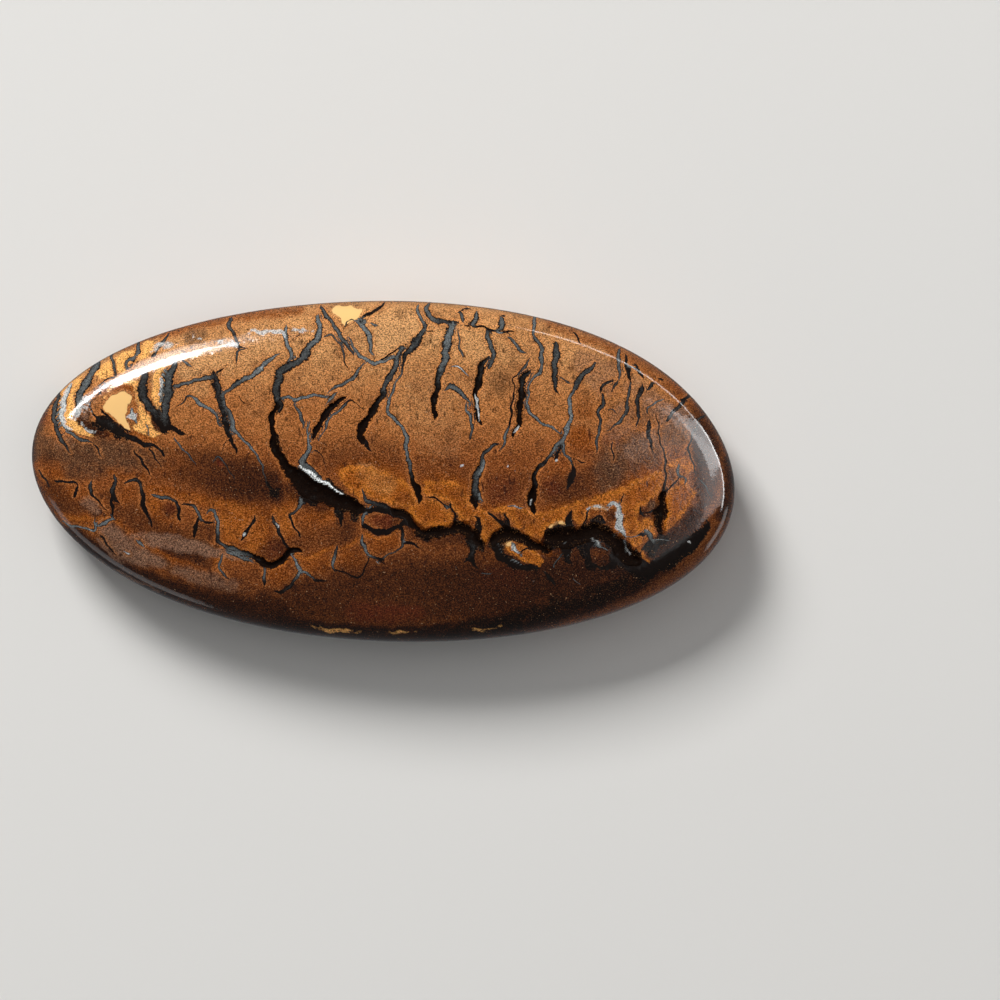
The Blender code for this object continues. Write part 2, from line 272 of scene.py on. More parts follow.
SEAMS_LEFT_END = [
    [(-15.3, 5.8, .2, .6), (-15.7, 5.0, .25, .6), (-16.1, 4.3, .25, .6), (-16.3, 3.1, .15, .6)],
    [(-16.7, 4.5, .1, 1.2), (-17.1, 3.4, .13, 1.1), (-17.1, 2.7, .12, 1.1), (-16.8, 2.2, .06, .9)],
    [(-17.3, 4.3, .1, .4), (-17.55, 3.4, .16, .4), (-17.5, 2.6, .16, .35), (-17.3, 1.9, .12, .35),
     (-16.8, 1.2, .07, .3), (-16.6, 1.0, .04, .3)],
    [(-16.9, 2.1, .06, .7), (-16.6, 1.95, .1, .7), (-16.2, 1.75, .12, .6), (-15.5, 1.55, .04, .3)],
    [(-15.4, 1.4, .04, .2), (-15.2, 1.1, .05, .2), (-15.0, .8, .02, .2)],
    [(-14.5, 6.2, .1, .5), (-14.4, 5.6, .1, .5), (-14.3, 5.1, .06, .2), (-14.6, 4.95, .04, .1),
     (-15.2, 4.5, .05, .1)],
    [(-13.1, 6.9, .12, .5), (-13.15, 6.3, .13, .6), (-13.6, 5.9, .12, .6), (-13.7, 5.5, .06, .5)],
    [(-13.5, 5.5, .03, .1), (-13.2, 5.9, .04, .1)],
    [(-12.3, 6.1, .07, .3), (-11.95, 6.55, .08, .4), (-11.7, 6.95, .08, .4), (-11.5, 7.3, .06, .3)],
    # The ring round the cream lens.
    [(-15.1, 4.2, .05, .1), (-15.55, 3.6, .05, .2), (-15.5, 3.1, .06, .1), (-15.0, 2.8, .1, 0)],
    [(-15.2, 2.75, .16, .1), (-14.6, 2.45, .3, .1), (-14.0, 2.1, .15, .1), (-13.4, 1.75, .12, .1),
     (-12.8, 1.5, .15, .1), (-12.2, 1.35, .1, .1), (-11.6, .85, .05, .1)],
    [(-14.95, 3.3, .07, .1), (-14.5, 2.75, .08, .1), (-13.9, 2.35, .06, .1), (-13.5, 2.15, .04, .1)],
    [(-13.4, 3.3, .1, 1.2), (-13.25, 2.9, .13, 1.1), (-13.1, 2.6, .06, 1.0)],
    [(-12.5, 2.4, .05, .8), (-12.45, 1.95, .03, .7)],
    # The two dark arms right of the lens, with a light grey thread between them.
    [(-12.6, 5.4, .15, .3), (-12.8, 4.7, .26, .3), (-12.75, 4.1, .28, .3), (-12.5, 3.5, .26, .3),
     (-12.1, 3.0, .26, .2), (-11.8, 2.5, .22, 0), (-11.6, 2.1, .15, 0)],
    [(-11.65, 5.4, .06, .9), (-11.75, 4.8, .08, .9), (-11.85, 4.2, .08, .9), (-11.8, 3.6, .05, .8)],
    [(-11.05, 5.9, .12, .4), (-11.3, 5.2, .25, .45), (-11.45, 4.5, .27, .45), (-11.5, 3.8, .26, .4),
     (-11.6, 3.2, .24, .4), (-11.6, 2.6, .25, .2), (-11.35, 2.25, .2, 0)],
    [(-11.6, 2.3, .2, 0), (-11.1, 2.25, .14, 0), (-10.8, 2.1, .12, 0), (-10.5, 2.0, .05, 0)],
    [(-10.75, 6.0, .05, .7), (-10.5, 5.8, .08, .7), (-10.2, 5.6, .05, .7)],
    # Faint seams in the grey-brown patch below.
    [(-13.2, 1.1, .05, .1), (-12.9, .7, .08, .1), (-12.7, .2, .08, .1), (-12.4, -.2, .03, .1)],
    [(-12.4, 1.2, .04, .1), (-12.1, .7, .06, .1), (-11.8, .3, .03, .1)],
    [(-11.0, 1.7, .06, .6), (-10.8, 1.4, .08, .6), (-10.5, 1.0, .07, .5), (-10.0, .4, .03, .3)],
    [(-18.35, .1, .05, .2), (-18.1, -.4, .07, .2), (-17.85, -.85, .04, .1)],
    [(-17.5, -.5, .06, .1), (-16.8, -.55, .08, .1), (-16.2, -.8, .06, .1), (-16.5, -1.3, .1, 0)],
    [(-15.5, -.5, .06, .4), (-15.55, -.9, .12, .3), (-15.45, -1.3, .1, .1), (-15.0, -1.8, .05, 0),
     (-14.8, -2.05, .03, 0)],
    [(-14.25, -.3, .08, .3), (-14.3, -.7, .13, .3), (-14.4, -1.1, .12, .2), (-14.15, -1.5, .1, 0),
     (-14.0, -1.7, .04, 0)],
    [(-14.4, -1.3, .08, 0), (-14.45, -1.9, .09, 0), (-14.4, -2.4, .06, 0)],
    [(-13.7, -.6, .05, .2), (-13.3, -.45, .1, .2), (-12.95, -.6, .12, .2), (-12.85, -1.0, .12, .2),
     (-12.8, -1.5, .13, .1), (-12.7, -1.9, .12, 0), (-12.5, -2.3, .1, 0), (-12.3, -3.0, .05, 0)],
    [(-12.3, -1.25, .06, .6), (-11.9, -1.4, .12, .6), (-11.5, -1.45, .1, .5), (-11.0, -1.55, .1, .2),
     (-10.9, -1.9, .1, .2), (-10.9, -2.3, .1, 0), (-10.8, -2.6, .07, 0)],
    [(-17.1, -2.7, .05, .9), (-16.6, -2.92, .07, 1), (-16.0, -3.05, .07, 1.1),
     (-15.45, -3.17, .07, 1.1), (-15.3, -2.7, .09, .8)],
    [(-15.05, -2.88, .1, .9), (-14.85, -2.75, .15, .9), (-14.6, -2.6, .13, .9),
     (-14.35, -2.6, .06, .9)],
    [(-13.1, -3.7, .06, .8), (-12.95, -3.82, .11, .8), (-12.75, -3.98, .07, .8)],
    [(-13.72, -4.35, .08, 1.2), (-13.6, -4.42, .08, 1.3)],
    [(-15.1, -3.4, .05, .1), (-14.7, -4.0, .06, .1), (-14.2, -4.4, .04, .1)],
]

SEAMS_LEFT_CENTRE = [
    [(-10.95, 4.6, .12, .5), (-10.0, 4.8, .13, .6), (-9.3, 5.0, .12, .5), (-9.0, 5.15, .08, .3),
     (-8.6, 5.4, .05, .1), (-8.3, 5.65, .03, .1)],
    [(-9.3, 4.95, .05, 0), (-9.05, 4.6, .06, 0), (-9.0, 4.3, .04, 0)],
    [(-8.95, 5.2, .15, .2), (-8.8, 4.5, .18, .2), (-8.7, 3.9, .17, .2), (-8.55, 3.3, .16, .2),
     (-8.4, 2.8, .17, .15), (-8.3, 2.4, .17, .1), (-8.15, 1.9, .16, .1), (-8.0, 1.5, .12, 0),
     (-7.8, 1.1, .06, 0)],
    [(-5.6, 6.2, .04, 1), (-6.0, 5.9, .15, 1), (-6.5, 5.5, .2, 1.1), (-7.0, 5.1, .17, .9),
     (-7.6, 4.8, .14, .5), (-8.1, 4.4, .12, .5), (-8.45, 4.05, .1, .6), (-8.35, 3.5, .12, .5),
     (-8.1, 3.0, .12, .6), (-7.95, 2.3, .12, .9), (-7.7, 2.0, .12, .9), (-7.4, 1.75, .1, .7),
     (-7.15, 1.45, .1, .8), (-6.95, 1.15, .09, .9), (-6.7, .75, .08, .7), (-6.45, .4, .07, .5),
     (-6.3, 0, .05, .4), (-6.2, -.4, .04, .3), (-6.15, -.8, .03, .2)],
    [(-10.95, 3.4, .04, .2), (-10.7, 3.6, .05, .3), (-10.4, 3.95, .06, .4), (-10.05, 3.9, .1, .9),
     (-9.6, 3.5, .14, .9), (-9.1, 3.2, .1, .8), (-8.8, 2.8, .07, .5), (-8.6, 2.4, .04, .4)],
    [(-7.7, 4.0, .02, .1), (-7.35, 3.6, .03, .1)],
    [(-8.1, 8.1, .12, .4), (-8.25, 7.7, .15, .5), (-7.95, 7.3, .1, .3), (-7.6, 6.6, .08, .2)],
    [(-7.2, 6.5, .03, .3), (-7.6, 6.45, .06, .4), (-7.8, 6.1, .08, .4), (-7.8, 5.8, .05, .3)],
    [(-5.2, 7.7, .1, .9), (-5.15, 7.1, .15, 1), (-5.0, 6.6, .15, 1), (-4.85, 6.2, .13, .9),
     (-5.0, 5.95, .06, .8)],
    [(-4.3, 7.5, .02, .2), (-4.7, 7.1, .03, .2)],
    # The big seam that leaves the back edge and becomes the left arm.
    [(-3.5, 8.3, .12, .8), (-3.3, 7.6, .18, .9), (-3.5, 7.1, .2, .8), (-3.8, 6.7, .25, .6),
     (-4.2, 6.1, .27, .45), (-4.8, 5.7, .28, .4), (-5.3, 5.45, .28, .4), (-5.55, 5.0, .28, .35),
     (-5.65, 4.5, .27, .3), (-5.6, 4.0, .25, .3), (-5.5, 3.5, .22, .2), (-5.5, 3.2, .12, .1)],
    [(-5.3, 3.9, .06, .7), (-4.9, 3.9, .1, .8), (-4.6, 3.85, .12, .9), (-4.2, 3.95, .12, .8),
     (-3.7, 4.0, .1, .8), (-3.2, 4.0, .08, .7), (-2.9, 3.9, .05, .6)],
    [(-4.75, 3.75, .04, .4), (-4.5, 3.3, .1, .6), (-4.35, 2.8, .12, .5), (-4.2, 2.35, .06, .4)],
    [(-3.95, 2.6, .04, .7), (-3.95, 2.1, .07, .8), (-3.9, 1.6, .1, .9), (-3.95, 1.2, .17, .8),
     (-4.1, .8, .22, .7), (-4.25, .4, .18, .7), (-3.75, .1, .15, .5), (-3.3, -.25, .1, .4)],
    [(-3.6, 1.05, .05, .2), (-3.4, .95, .04, .1), (-3.2, .7, .03, .1), (-3.05, .45, .02, .1)],
    [(-4.5, -.3, .45, 0), (-4.1, -.9, .55, 0), (-3.8, -1.35, .4, 0), (-3.3, -1.25, .4, 0),
     (-2.7, -1.4, .3, 0)],
    # Painted highlight: the white glint of light along the lip of the black wedge.
    [(-4.4, .27, .06, 1.8), (-3.9, -.07, .11, 2.2), (-3.4, -.42, .11, 2.2), (-3.0, -.68, .10, 2.2),
     (-2.4, -1.06, .08, 2), (-2.0, -1.3, .06, 2), (-1.6, -1.58, .04, 1.8)],
    [(-9.0, .5, .04, .3), (-8.8, .7, .06, .4), (-8.5, .6, .07, .4), (-8.3, .3, .05, .3),
     (-7.95, -.4, .03, .2)],
    [(-8.3, 1.6, .02, .2), (-8.45, 1.4, .03, .2), (-8.5, 1.1, .02, .2)],
    # Below the dark patch: the hooks and strokes in the orange band.
    [(-10.6, -1.78, .05, .1), (-10.3, -1.8, .07, .1), (-10.05, -1.9, .09, .4), (-9.85, -2.1, .11, .6),
     (-9.8, -2.4, .1, .6), (-9.6, -2.62, .08, .3), (-9.35, -2.75, .09, .1), (-9.1, -2.8, .04, 0)],
    [(-9.85, -2.5, .08, 0), (-9.95, -3.0, .12, 0), (-10.0, -3.5, .07, 0)],
    [(-9.35, -2.2, .05, .4), (-9.1, -2.07, .1, .6), (-8.9, -2.2, .11, .8), (-8.8, -2.6, .12, .9),
     (-8.8, -3.1, .12, .7), (-8.75, -3.6, .12, .2), (-8.5, -3.9, .12, .4), (-8.2, -4.1, .12, .6)],
    [(-6.8, -2.4, .04, .1), (-6.9, -2.75, .09, .1), (-7.1, -3.05, .09, 0), (-7.3, -3.32, .1, .1),
     (-7.55, -3.65, .05, 0)],
    [(-5.9, -2.45, .06, .2), (-5.75, -2.8, .11, .3), (-5.58, -3.1, .11, .3), (-5.4, -3.4, .1, 0),
     (-5.2, -3.75, .09, 0), (-5.0, -4.1, .08, 0)],
    [(-4.35, -1.0, .1, .6), (-4.33, -1.4, .13, .7), (-4.45, -1.8, .12, .6), (-4.6, -2.1, .09, .4),
     (-4.85, -2.3, .08, .2), (-4.85, -2.6, .08, .1), (-4.72, -2.95, .07, .1), (-4.4, -3.5, .05, 0)],
    [(-2.45, -1.7, .12, 0), (-2.4, -2.1, .11, 0), (-2.28, -2.5, .11, 0), (-2.2, -2.9, .05, 0)],
    [(-8.55, -4.5, .05, .5), (-8.7, -4.85, .08, .6), (-8.65, -5.2, .08, .6), (-8.4, -5.5, .07, .5),
     (-8.15, -5.7, .03, .2)],
    [(-8.2, -4.35, .12, .8), (-7.6, -4.5, .15, .7), (-7.2, -4.7, .12, .6), (-6.95, -4.9, .06, .5)],
    [(-6.3, -5.1, .05, .6), (-6.35, -5.5, .1, .7), (-6.3, -5.9, .08, .2), (-6.3, -6.1, .04, 0)],
    # The fork between the scallops.
    [(-4.88, -4.45, .06, .9), (-4.65, -4.8, .09, 1.1), (-4.45, -5.1, .11, 1.1),
     (-4.4, -5.35, .13, .9), (-4.5, -5.62, .12, .6), (-4.75, -5.85, .1, .2), (-5.0, -6.1, .12, .1),
     (-5.3, -6.35, .12, .1), (-5.65, -6.42, .06, 0)],
    [(-4.4, -5.35, .06, .9), (-4.1, -5.42, .07, .8), (-3.8, -5.62, .08, .5), (-3.5, -5.8, .06, .1),
     (-3.0, -5.8, .05, 0)],
    [(-2.45, -4.05, .08, .2), (-2.52, -4.4, .1, .4), (-2.6, -4.8, .11, .8), (-2.6, -5.25, .06, .2)],
    [(-2.6, -5.2, .04, 0), (-2.2, -5.4, .05, 0), (-1.7, -5.52, .05, 0), (-1.3, -5.65, .06, 0),
     (-1.0, -5.35, .05, 0), (-.85, -4.9, .05, 0), (-.8, -4.6, .04, 0)],
]

SEAMS_CENTRE = [
    [(-3.3, 8.8, .1, .4), (-3.15, 8.4, .12, .5), (-2.8, 8.0, .12, .5), (-2.4, 7.6, .12, .6),
     (-2.15, 7.1, .13, .6), (-1.9, 6.7, .12, .5), (-1.65, 6.3, .07, .4)],
    [(-3.1, 7.2, .03, .4), (-2.9, 7.3, .05, .5), (-2.65, 7.25, .06, .5), (-2.4, 6.9, .07, .4),
     (-2.15, 6.5, .08, .4), (-2.05, 6.0, .06, .3), (-1.85, 5.6, .03, .2)],
    [(0, 9.0, .07, .1), (-.4, 8.6, .1, .1), (-.9, 8.25, .08, .1), (-1.2, 8.0, .05, .1)],
    [(-2.0, 7.7, .03, .3), (-1.95, 8.0, .04, .3), (-1.7, 8.1, .04, .3), (-1.5, 8.0, .03, .3)],
    [(-1.75, 7.1, .05, .6), (-1.6, 6.8, .08, .7), (-1.4, 6.4, .1, .8), (-1.2, 6.15, .1, 1),
     (-.9, 5.9, .12, 1.1), (-.5, 5.75, .12, 1.1), (-.1, 5.85, .1, 1), (.4, 6.0, .1, 1),
     (.85, 6.12, .07, .9)],
    [(-.1, 5.98, .04, 0), (.4, 6.25, .05, 0), (.7, 6.5, .05, 0), (1.15, 6.75, .04, 0)],
    [(-1.35, 7.9, .12, .9), (-.95, 7.6, .15, .9), (-.7, 7.2, .15, .9), (-.6, 6.8, .13, .8),
     (-.6, 6.4, .12, .8), (-.5, 6.2, .06, .7)],
    [(-1.2, 8.1, .08, .8), (-.95, 8.0, .1, .8)], [(-.55, 7.95, .08, .7), (-.35, 7.85, .1, .7)],
    [(-1.05, 5.7, .06, .6), (-1.3, 5.2, .12, .6), (-1.7, 4.9, .14, .6), (-2.3, 4.6, .12, .6),
     (-2.7, 4.4, .06, .6), (-2.85, 4.2, .04, .5)],
    [(-2.4, 4.2, .06, .7), (-2.7, 4.0, .1, .7), (-2.9, 3.8, .08, .7), (-3.05, 3.6, .03, .6)],
    [(-.95, 3.3, .02, .1), (-1.3, 3.55, .03, .1), (-1.6, 3.75, .04, .1), (-1.85, 3.7, .05, .2),
     (-2.1, 3.4, .08, .4), (-2.5, 3.05, .09, .6), (-2.85, 2.7, .08, .6), (-3.1, 2.2, .06, .6),
     (-3.35, 1.6, .03, .5)],
    [(1.0, 6.6, .1, .5), (.85, 6.1, .17, .5), (.7, 5.6, .18, .5), (.45, 5.1, .19, .4),
     (.15, 4.5, .19, .4), (-.05, 4.0, .18, .3)],
    [(-1.05, 1.75, .13, 0), (-.85, 1.4, .12, 0), (-.7, 1.1, .05, 0)],
    # The long light seam that wanders down right of the centre.
    [(1.9, 8.9, .08, .8), (1.95, 8.3, .12, .7), (2.2, 7.8, .13, .5), (2.1, 7.3, .15, .4),
     (1.8, 6.9, .24, .3), (1.5, 6.5, .2, .4), (1.25, 6.2, .13, .2), (1.1, 5.6, .07, .2),
     (.9, 5.1, .06, .6), (.7, 4.6, .07, .7), (.45, 4.1, .08, .7), (.3, 3.6, .1, .8),
     (.35, 3.2, .12, .8), (.6, 2.8, .12, .8), (.95, 2.4, .13, .8), (1.2, 2.05, .14, .8),
     (1.3, 1.6, .14, .8), (1.3, 1.1, .14, .7), (1.35, .6, .14, .6), (1.45, .2, .12, .5),
     (1.55, -.1, .1, .4)],
    [(2.3, 7.5, .03, .2), (2.65, 7.5, .03, .2)],
    [(-1.0, -1.0, .04, .4), (-1.0, -1.3, .09, .4), (-.8, -1.55, .14, .4), (-.4, -1.75, .14, .3),
     (.1, -1.9, .14, .1), (.6, -2.05, .15, 0)],
    [(-.7, -1.9, .12, .7), (-.85, -2.2, .1, .7), (-1.0, -2.5, .12, .7), (-1.1, -2.8, .08, .3)],
    [(-1.0, -2.9, .12, 0), (-.5, -3.17, .16, 0), (.1, -3.22, .18, 0), (.7, -3.05, .14, 0),
     (1.2, -2.8, .12, 0)],
    [(-1.3, -2.0, .25, 0), (-.6, -2.1, .15, 0), (.1, -2.15, .14, 0), (.8, -2.3, .2, 0),
     (1.4, -2.8, .2, 0)],
    [(-1.12, -3.45, .05, .4), (-1.05, -3.7, .1, .6), (-.95, -4.0, .15, .8), (-.8, -4.3, .12, .8),
     (-.6, -4.5, .08, .5), (-.35, -4.65, .07, .2), (0, -4.7, .08, 0), (.15, -4.6, .05, .5),
     (.4, -4.45, .05, .4), (.7, -4.25, .05, .4), (.9, -4.1, .05, .3), (1.05, -3.8, .08, .3),
     (1.1, -3.5, .12, .3), (1.1, -3.1, .08, 0)],
    [(-.35, -4.68, .05, 0), (-.1, -4.85, .05, 0), (.05, -4.9, .03, 0)],
    [(1.1, -3.65, .1, 1.2), (1.25, -3.75, .07, 1.1)],
    [(1.2, -3.75, .08, 0), (1.6, -3.85, .1, 0), (1.95, -4.1, .06, 0)],
    [(2.4, -1.35, .04, 0), (2.75, -1.38, .06, 0), (3.0, -1.55, .05, 0), (3.25, -1.85, .06, .2),
     (3.4, -1.97, .1, .6)],
    [(3.6, -1.75, .04, 0), (3.65, -2.0, .05, 0), (3.85, -2.3, .06, 0), (3.93, -2.75, .1, 0)],
    [(-.3, -4.9, .03, 1.3), (-.27, -4.92, .03, 1.3)],
]

SEAMS_RIGHT_CENTRE = [
    [(2.45, 8.9, .1, .6), (2.35, 8.6, .15, .6), (2.5, 8.3, .18, .6), (2.8, 8.1, .2, .5),
     (3.3, 8.0, .15, .3), (3.8, 7.9, .1, .2), (4.1, 7.9, .05, .1)],
    [(3.8, 7.8, .14, .8), (3.5, 7.3, .25, .9), (3.45, 6.8, .27, .8), (3.4, 6.3, .25, .7),
     (3.2, 5.7, .22, .6), (3.05, 5.2, .21, .45)],
    [(4.05, 7.5, .04, .5), (4.05, 6.9, .06, .5), (4.15, 6.5, .06, .5), (4.35, 6.1, .04, .5)],
    [(3.7, 5.6, .04, 1.2), (4.1, 5.45, .07, 1.3), (4.35, 5.3, .06, 1.2), (4.5, 5.15, .03, 1)],
    [(3.4, 4.35, .1, .5), (3.65, 4.45, .2, .6), (4.0, 4.4, .18, .6), (4.3, 4.05, .12, .6),
     (4.5, 3.75, .09, .5), (4.65, 3.45, .05, .5)],
    [(4.4, 3.5, .05, .6), (4.5, 3.25, .08, .9), (4.65, 3.0, .08, .9), (4.75, 2.75, .11, .6),
     (4.72, 2.2, .09, .5), (4.68, 1.75, .06, .2)],
    [(5.6, 7.5, .12, .5), (5.7, 7.0, .17, .6), (5.85, 6.4, .17, .5), (5.85, 5.8, .15, .4),
     (5.7, 5.5, .1, .3)],
    [(7.85, 5.9, .05, .4), (7.5, 5.5, .08, .4), (7.2, 5.1, .06, .2), (7.0, 4.9, .04, .1),
     (7.0, 4.4, .04, .1), (6.95, 3.8, .06, .1), (6.87, 3.2, .07, 0), (6.77, 2.6, .06, 0),
     (6.68, 2.2, .1, .6), (6.55, 1.85, .11, .7), (6.42, 1.4, .08, .6), (6.25, 1.1, .03, .2)],
    [(6.1, 1.5, .06, .2), (5.85, 1.4, .09, .4), (5.65, 1.15, .11, .4), (5.4, .9, .12, .3),
     (5.3, .6, .13, .6)],
    [(5.35, .6, .1, 1.1), (5.28, .2, .13, 1.1), (5.15, -.3, .11, 1), (5.02, -.8, .09, 1.1),
     (5.08, -1.2, .1, .9), (5.3, -1.6, .06, .7)],
    # The long light seam of the right half, which splits in three.
    [(8.1, 8.3, .1, .8), (8.1, 7.6, .12, .7), (8.05, 7.2, .08, .6), (8.15, 6.95, .1, .6),
     (8.4, 6.7, .12, .6), (8.5, 6.2, .15, .7), (8.5, 5.7, .12, .7), (8.35, 5.3, .1, .7),
     (8.0, 5.0, .09, .7), (7.85, 4.6, .08, .7), (7.75, 4.1, .07, .8), (7.7, 3.6, .08, .8),
     (7.9, 3.1, .1, .8), (8.3, 2.75, .11, .8), (8.9, 2.35, .1, .8), (9.4, 2.08, .07, .7)],
    [(9.25, 6.8, .15, .4), (9.25, 6.2, .22, .5), (9.2, 5.5, .2, .4), (9.15, 5.0, .18, .3),
     (9.2, 4.5, .12, .2), (9.4, 4.2, .05, .1)],
    [(9.14, 6.9, .04, 0), (9.3, 6.86, .06, 0), (9.42, 6.76, .04, 0)],
    [(6.7, 7.1, .05, .5), (7.0, 6.9, .1, .6), (7.4, 6.5, .1, .6), (7.65, 6.3, .05, .5)],
    # Short marks along the back edge.
    [(5.0, 8.4, .15, .6), (4.8, 7.9, .18, .6)],
    [(4.4, 7.82, .03, 0), (4.8, 7.74, .06, 0), (5.3, 7.68, .06, 0), (5.8, 7.56, .05, .1),
     (6.2, 7.46, .07, .4), (6.6, 7.42, .06, 0), (6.95, 7.44, .03, 0)],
    [(6.4, 8.2, .15, .6), (6.3, 7.75, .22, .6)],
    # The first mark on the next line paints a glint of light in white.
    [(6.2, 7.38, .05, 1.5), (6.32, 7.4, .05, 1.4)], [(5.5, 7.6, .05, .1), (5.8, 7.5, .05, .1)],
    [(4.1, 8.4, .08, .5), (4.3, 8.1, .11, .5)], [(4.0, 8.5, .03, .1), (4.6, 8.72, .04, .1)],
    [(6.3, 8.33, .04, .1), (6.55, 8.35, .03, .1)], [(8.0, 6.95, .04, 0), (8.3, 6.98, .04, 0)],
    # Seam from the right half down to the right crescent, its red branch, its right branch.
    [(11.35, 5.75, .05, .4), (11.0, 5.4, .13, .4), (10.6, 5.0, .2, .4), (10.35, 4.6, .16, .4),
     (10.1, 4.15, .12, .6), (10.0, 3.6, .14, 1), (10.0, 3.0, .14, 1.1), (9.95, 2.5, .14, 1.1),
     (9.8, 2.1, .15, 1.1), (9.6, 1.75, .14, 1)],
    [(9.5, 1.7, .1, .7), (9.3, 1.4, .1, .7), (9.1, 1.1, .11, .7), (8.9, .8, .1, .4),
     (8.7, .6, .1, .2), (8.5, .4, .1, .2), (8.3, .15, .11, .3)],
    [(9.5, 1.5, .04, .1), (9.42, 1.1, .08, 0), (9.3, .75, .11, 0), (9.22, .62, .08, 0)],
    [(9.6, 1.6, .09, .8), (9.65, 1.2, .09, .6), (9.8, .85, .09, .6), (10.0, .65, .09, .6),
     (10.15, .4, .06, .3), (10.2, .1, .05, .1)],
    [(10.15, .3, .06, 0), (10.1, -.2, .18, 0), (9.92, -.8, .1, 0)],
    [(9.5, 5.0, .05, .4), (9.9, 4.75, .08, .4)],
    [(5.7, -2.25, .08, .1), (6.0, -2.45, .09, .1), (6.3, -2.75, .09, 0), (6.6, -3.05, .12, 0)],
    [(6.6, -2.4, .06, 0), (6.72, -2.65, .09, 0), (6.75, -3.05, .13, 0)],
    [(4.95, -2.5, .06, 0), (5.1, -2.62, .09, 0), (5.2, -2.95, .1, 0), (5.15, -3.3, .12, 0)],
    [(6.7, -1.9, .04, 1), (7.1, -1.9, .05, 1.1), (7.4, -1.9, .05, 1)],
    # The black hook round the orange lens, and its opal.
    [(5.95, -3.7, .25, 0), (6.1, -4.25, .22, 0), (6.35, -4.65, .2, 0), (6.9, -4.95, .17, 0),
     (7.5, -5.08, .15, 0), (8.3, -5.18, .08, 0)],
    [(6.85, -4.72, .05, 1), (7.15, -4.85, .06, 1), (7.5, -4.98, .05, .8)],
    [(6.25, -3.9, .05, .5), (6.3, -4.2, .07, .5), (6.35, -4.45, .04, .4)],
    [(6.95, -3.92, .09, 1.1), (7.05, -4.15, .13, 1.25), (7.2, -4.32, .1, 1.2), (7.4, -4.45, .06, 1)],
    [(7.4, -4.3, .04, 0), (7.7, -4.12, .05, 0), (7.95, -4.12, .03, 0)],
    [(5.3, -5.45, .04, .5), (5.8, -5.4, .05, .5)],
    [(4.65, -3.5, .2, 0), (4.75, -3.95, .2, .2), (4.8, -4.35, .16, .2), (4.73, -4.7, .18, .1),
     (4.95, -5.0, .08, 0), (5.1, -5.2, .04, 0)],
    [(4.35, -4.8, .04, 0), (4.6, -4.72, .07, 0)],
    [(9.45, -4.3, .04, .4), (9.38, -4.6, .06, .4), (9.15, -5.05, .04, .4)],
    [(9.75, -3.7, .05, .7), (9.77, -4.1, .05, .6), (9.88, -4.5, .03, .5)],
    [(9.7, -4.0, .25, 0), (9.75, -4.5, .14, 0), (9.9, -4.95, .06, 0)],
    [(10.05, -2.2, .08, 0), (10.0, -2.5, .14, 0), (9.85, -2.8, .16, 0), (9.8, -3.1, .2, 0)],
    [(8.6, -5.4, .05, .1), (8.9, -5.7, .12, .1), (9.1, -6.0, .07, .1)],
]

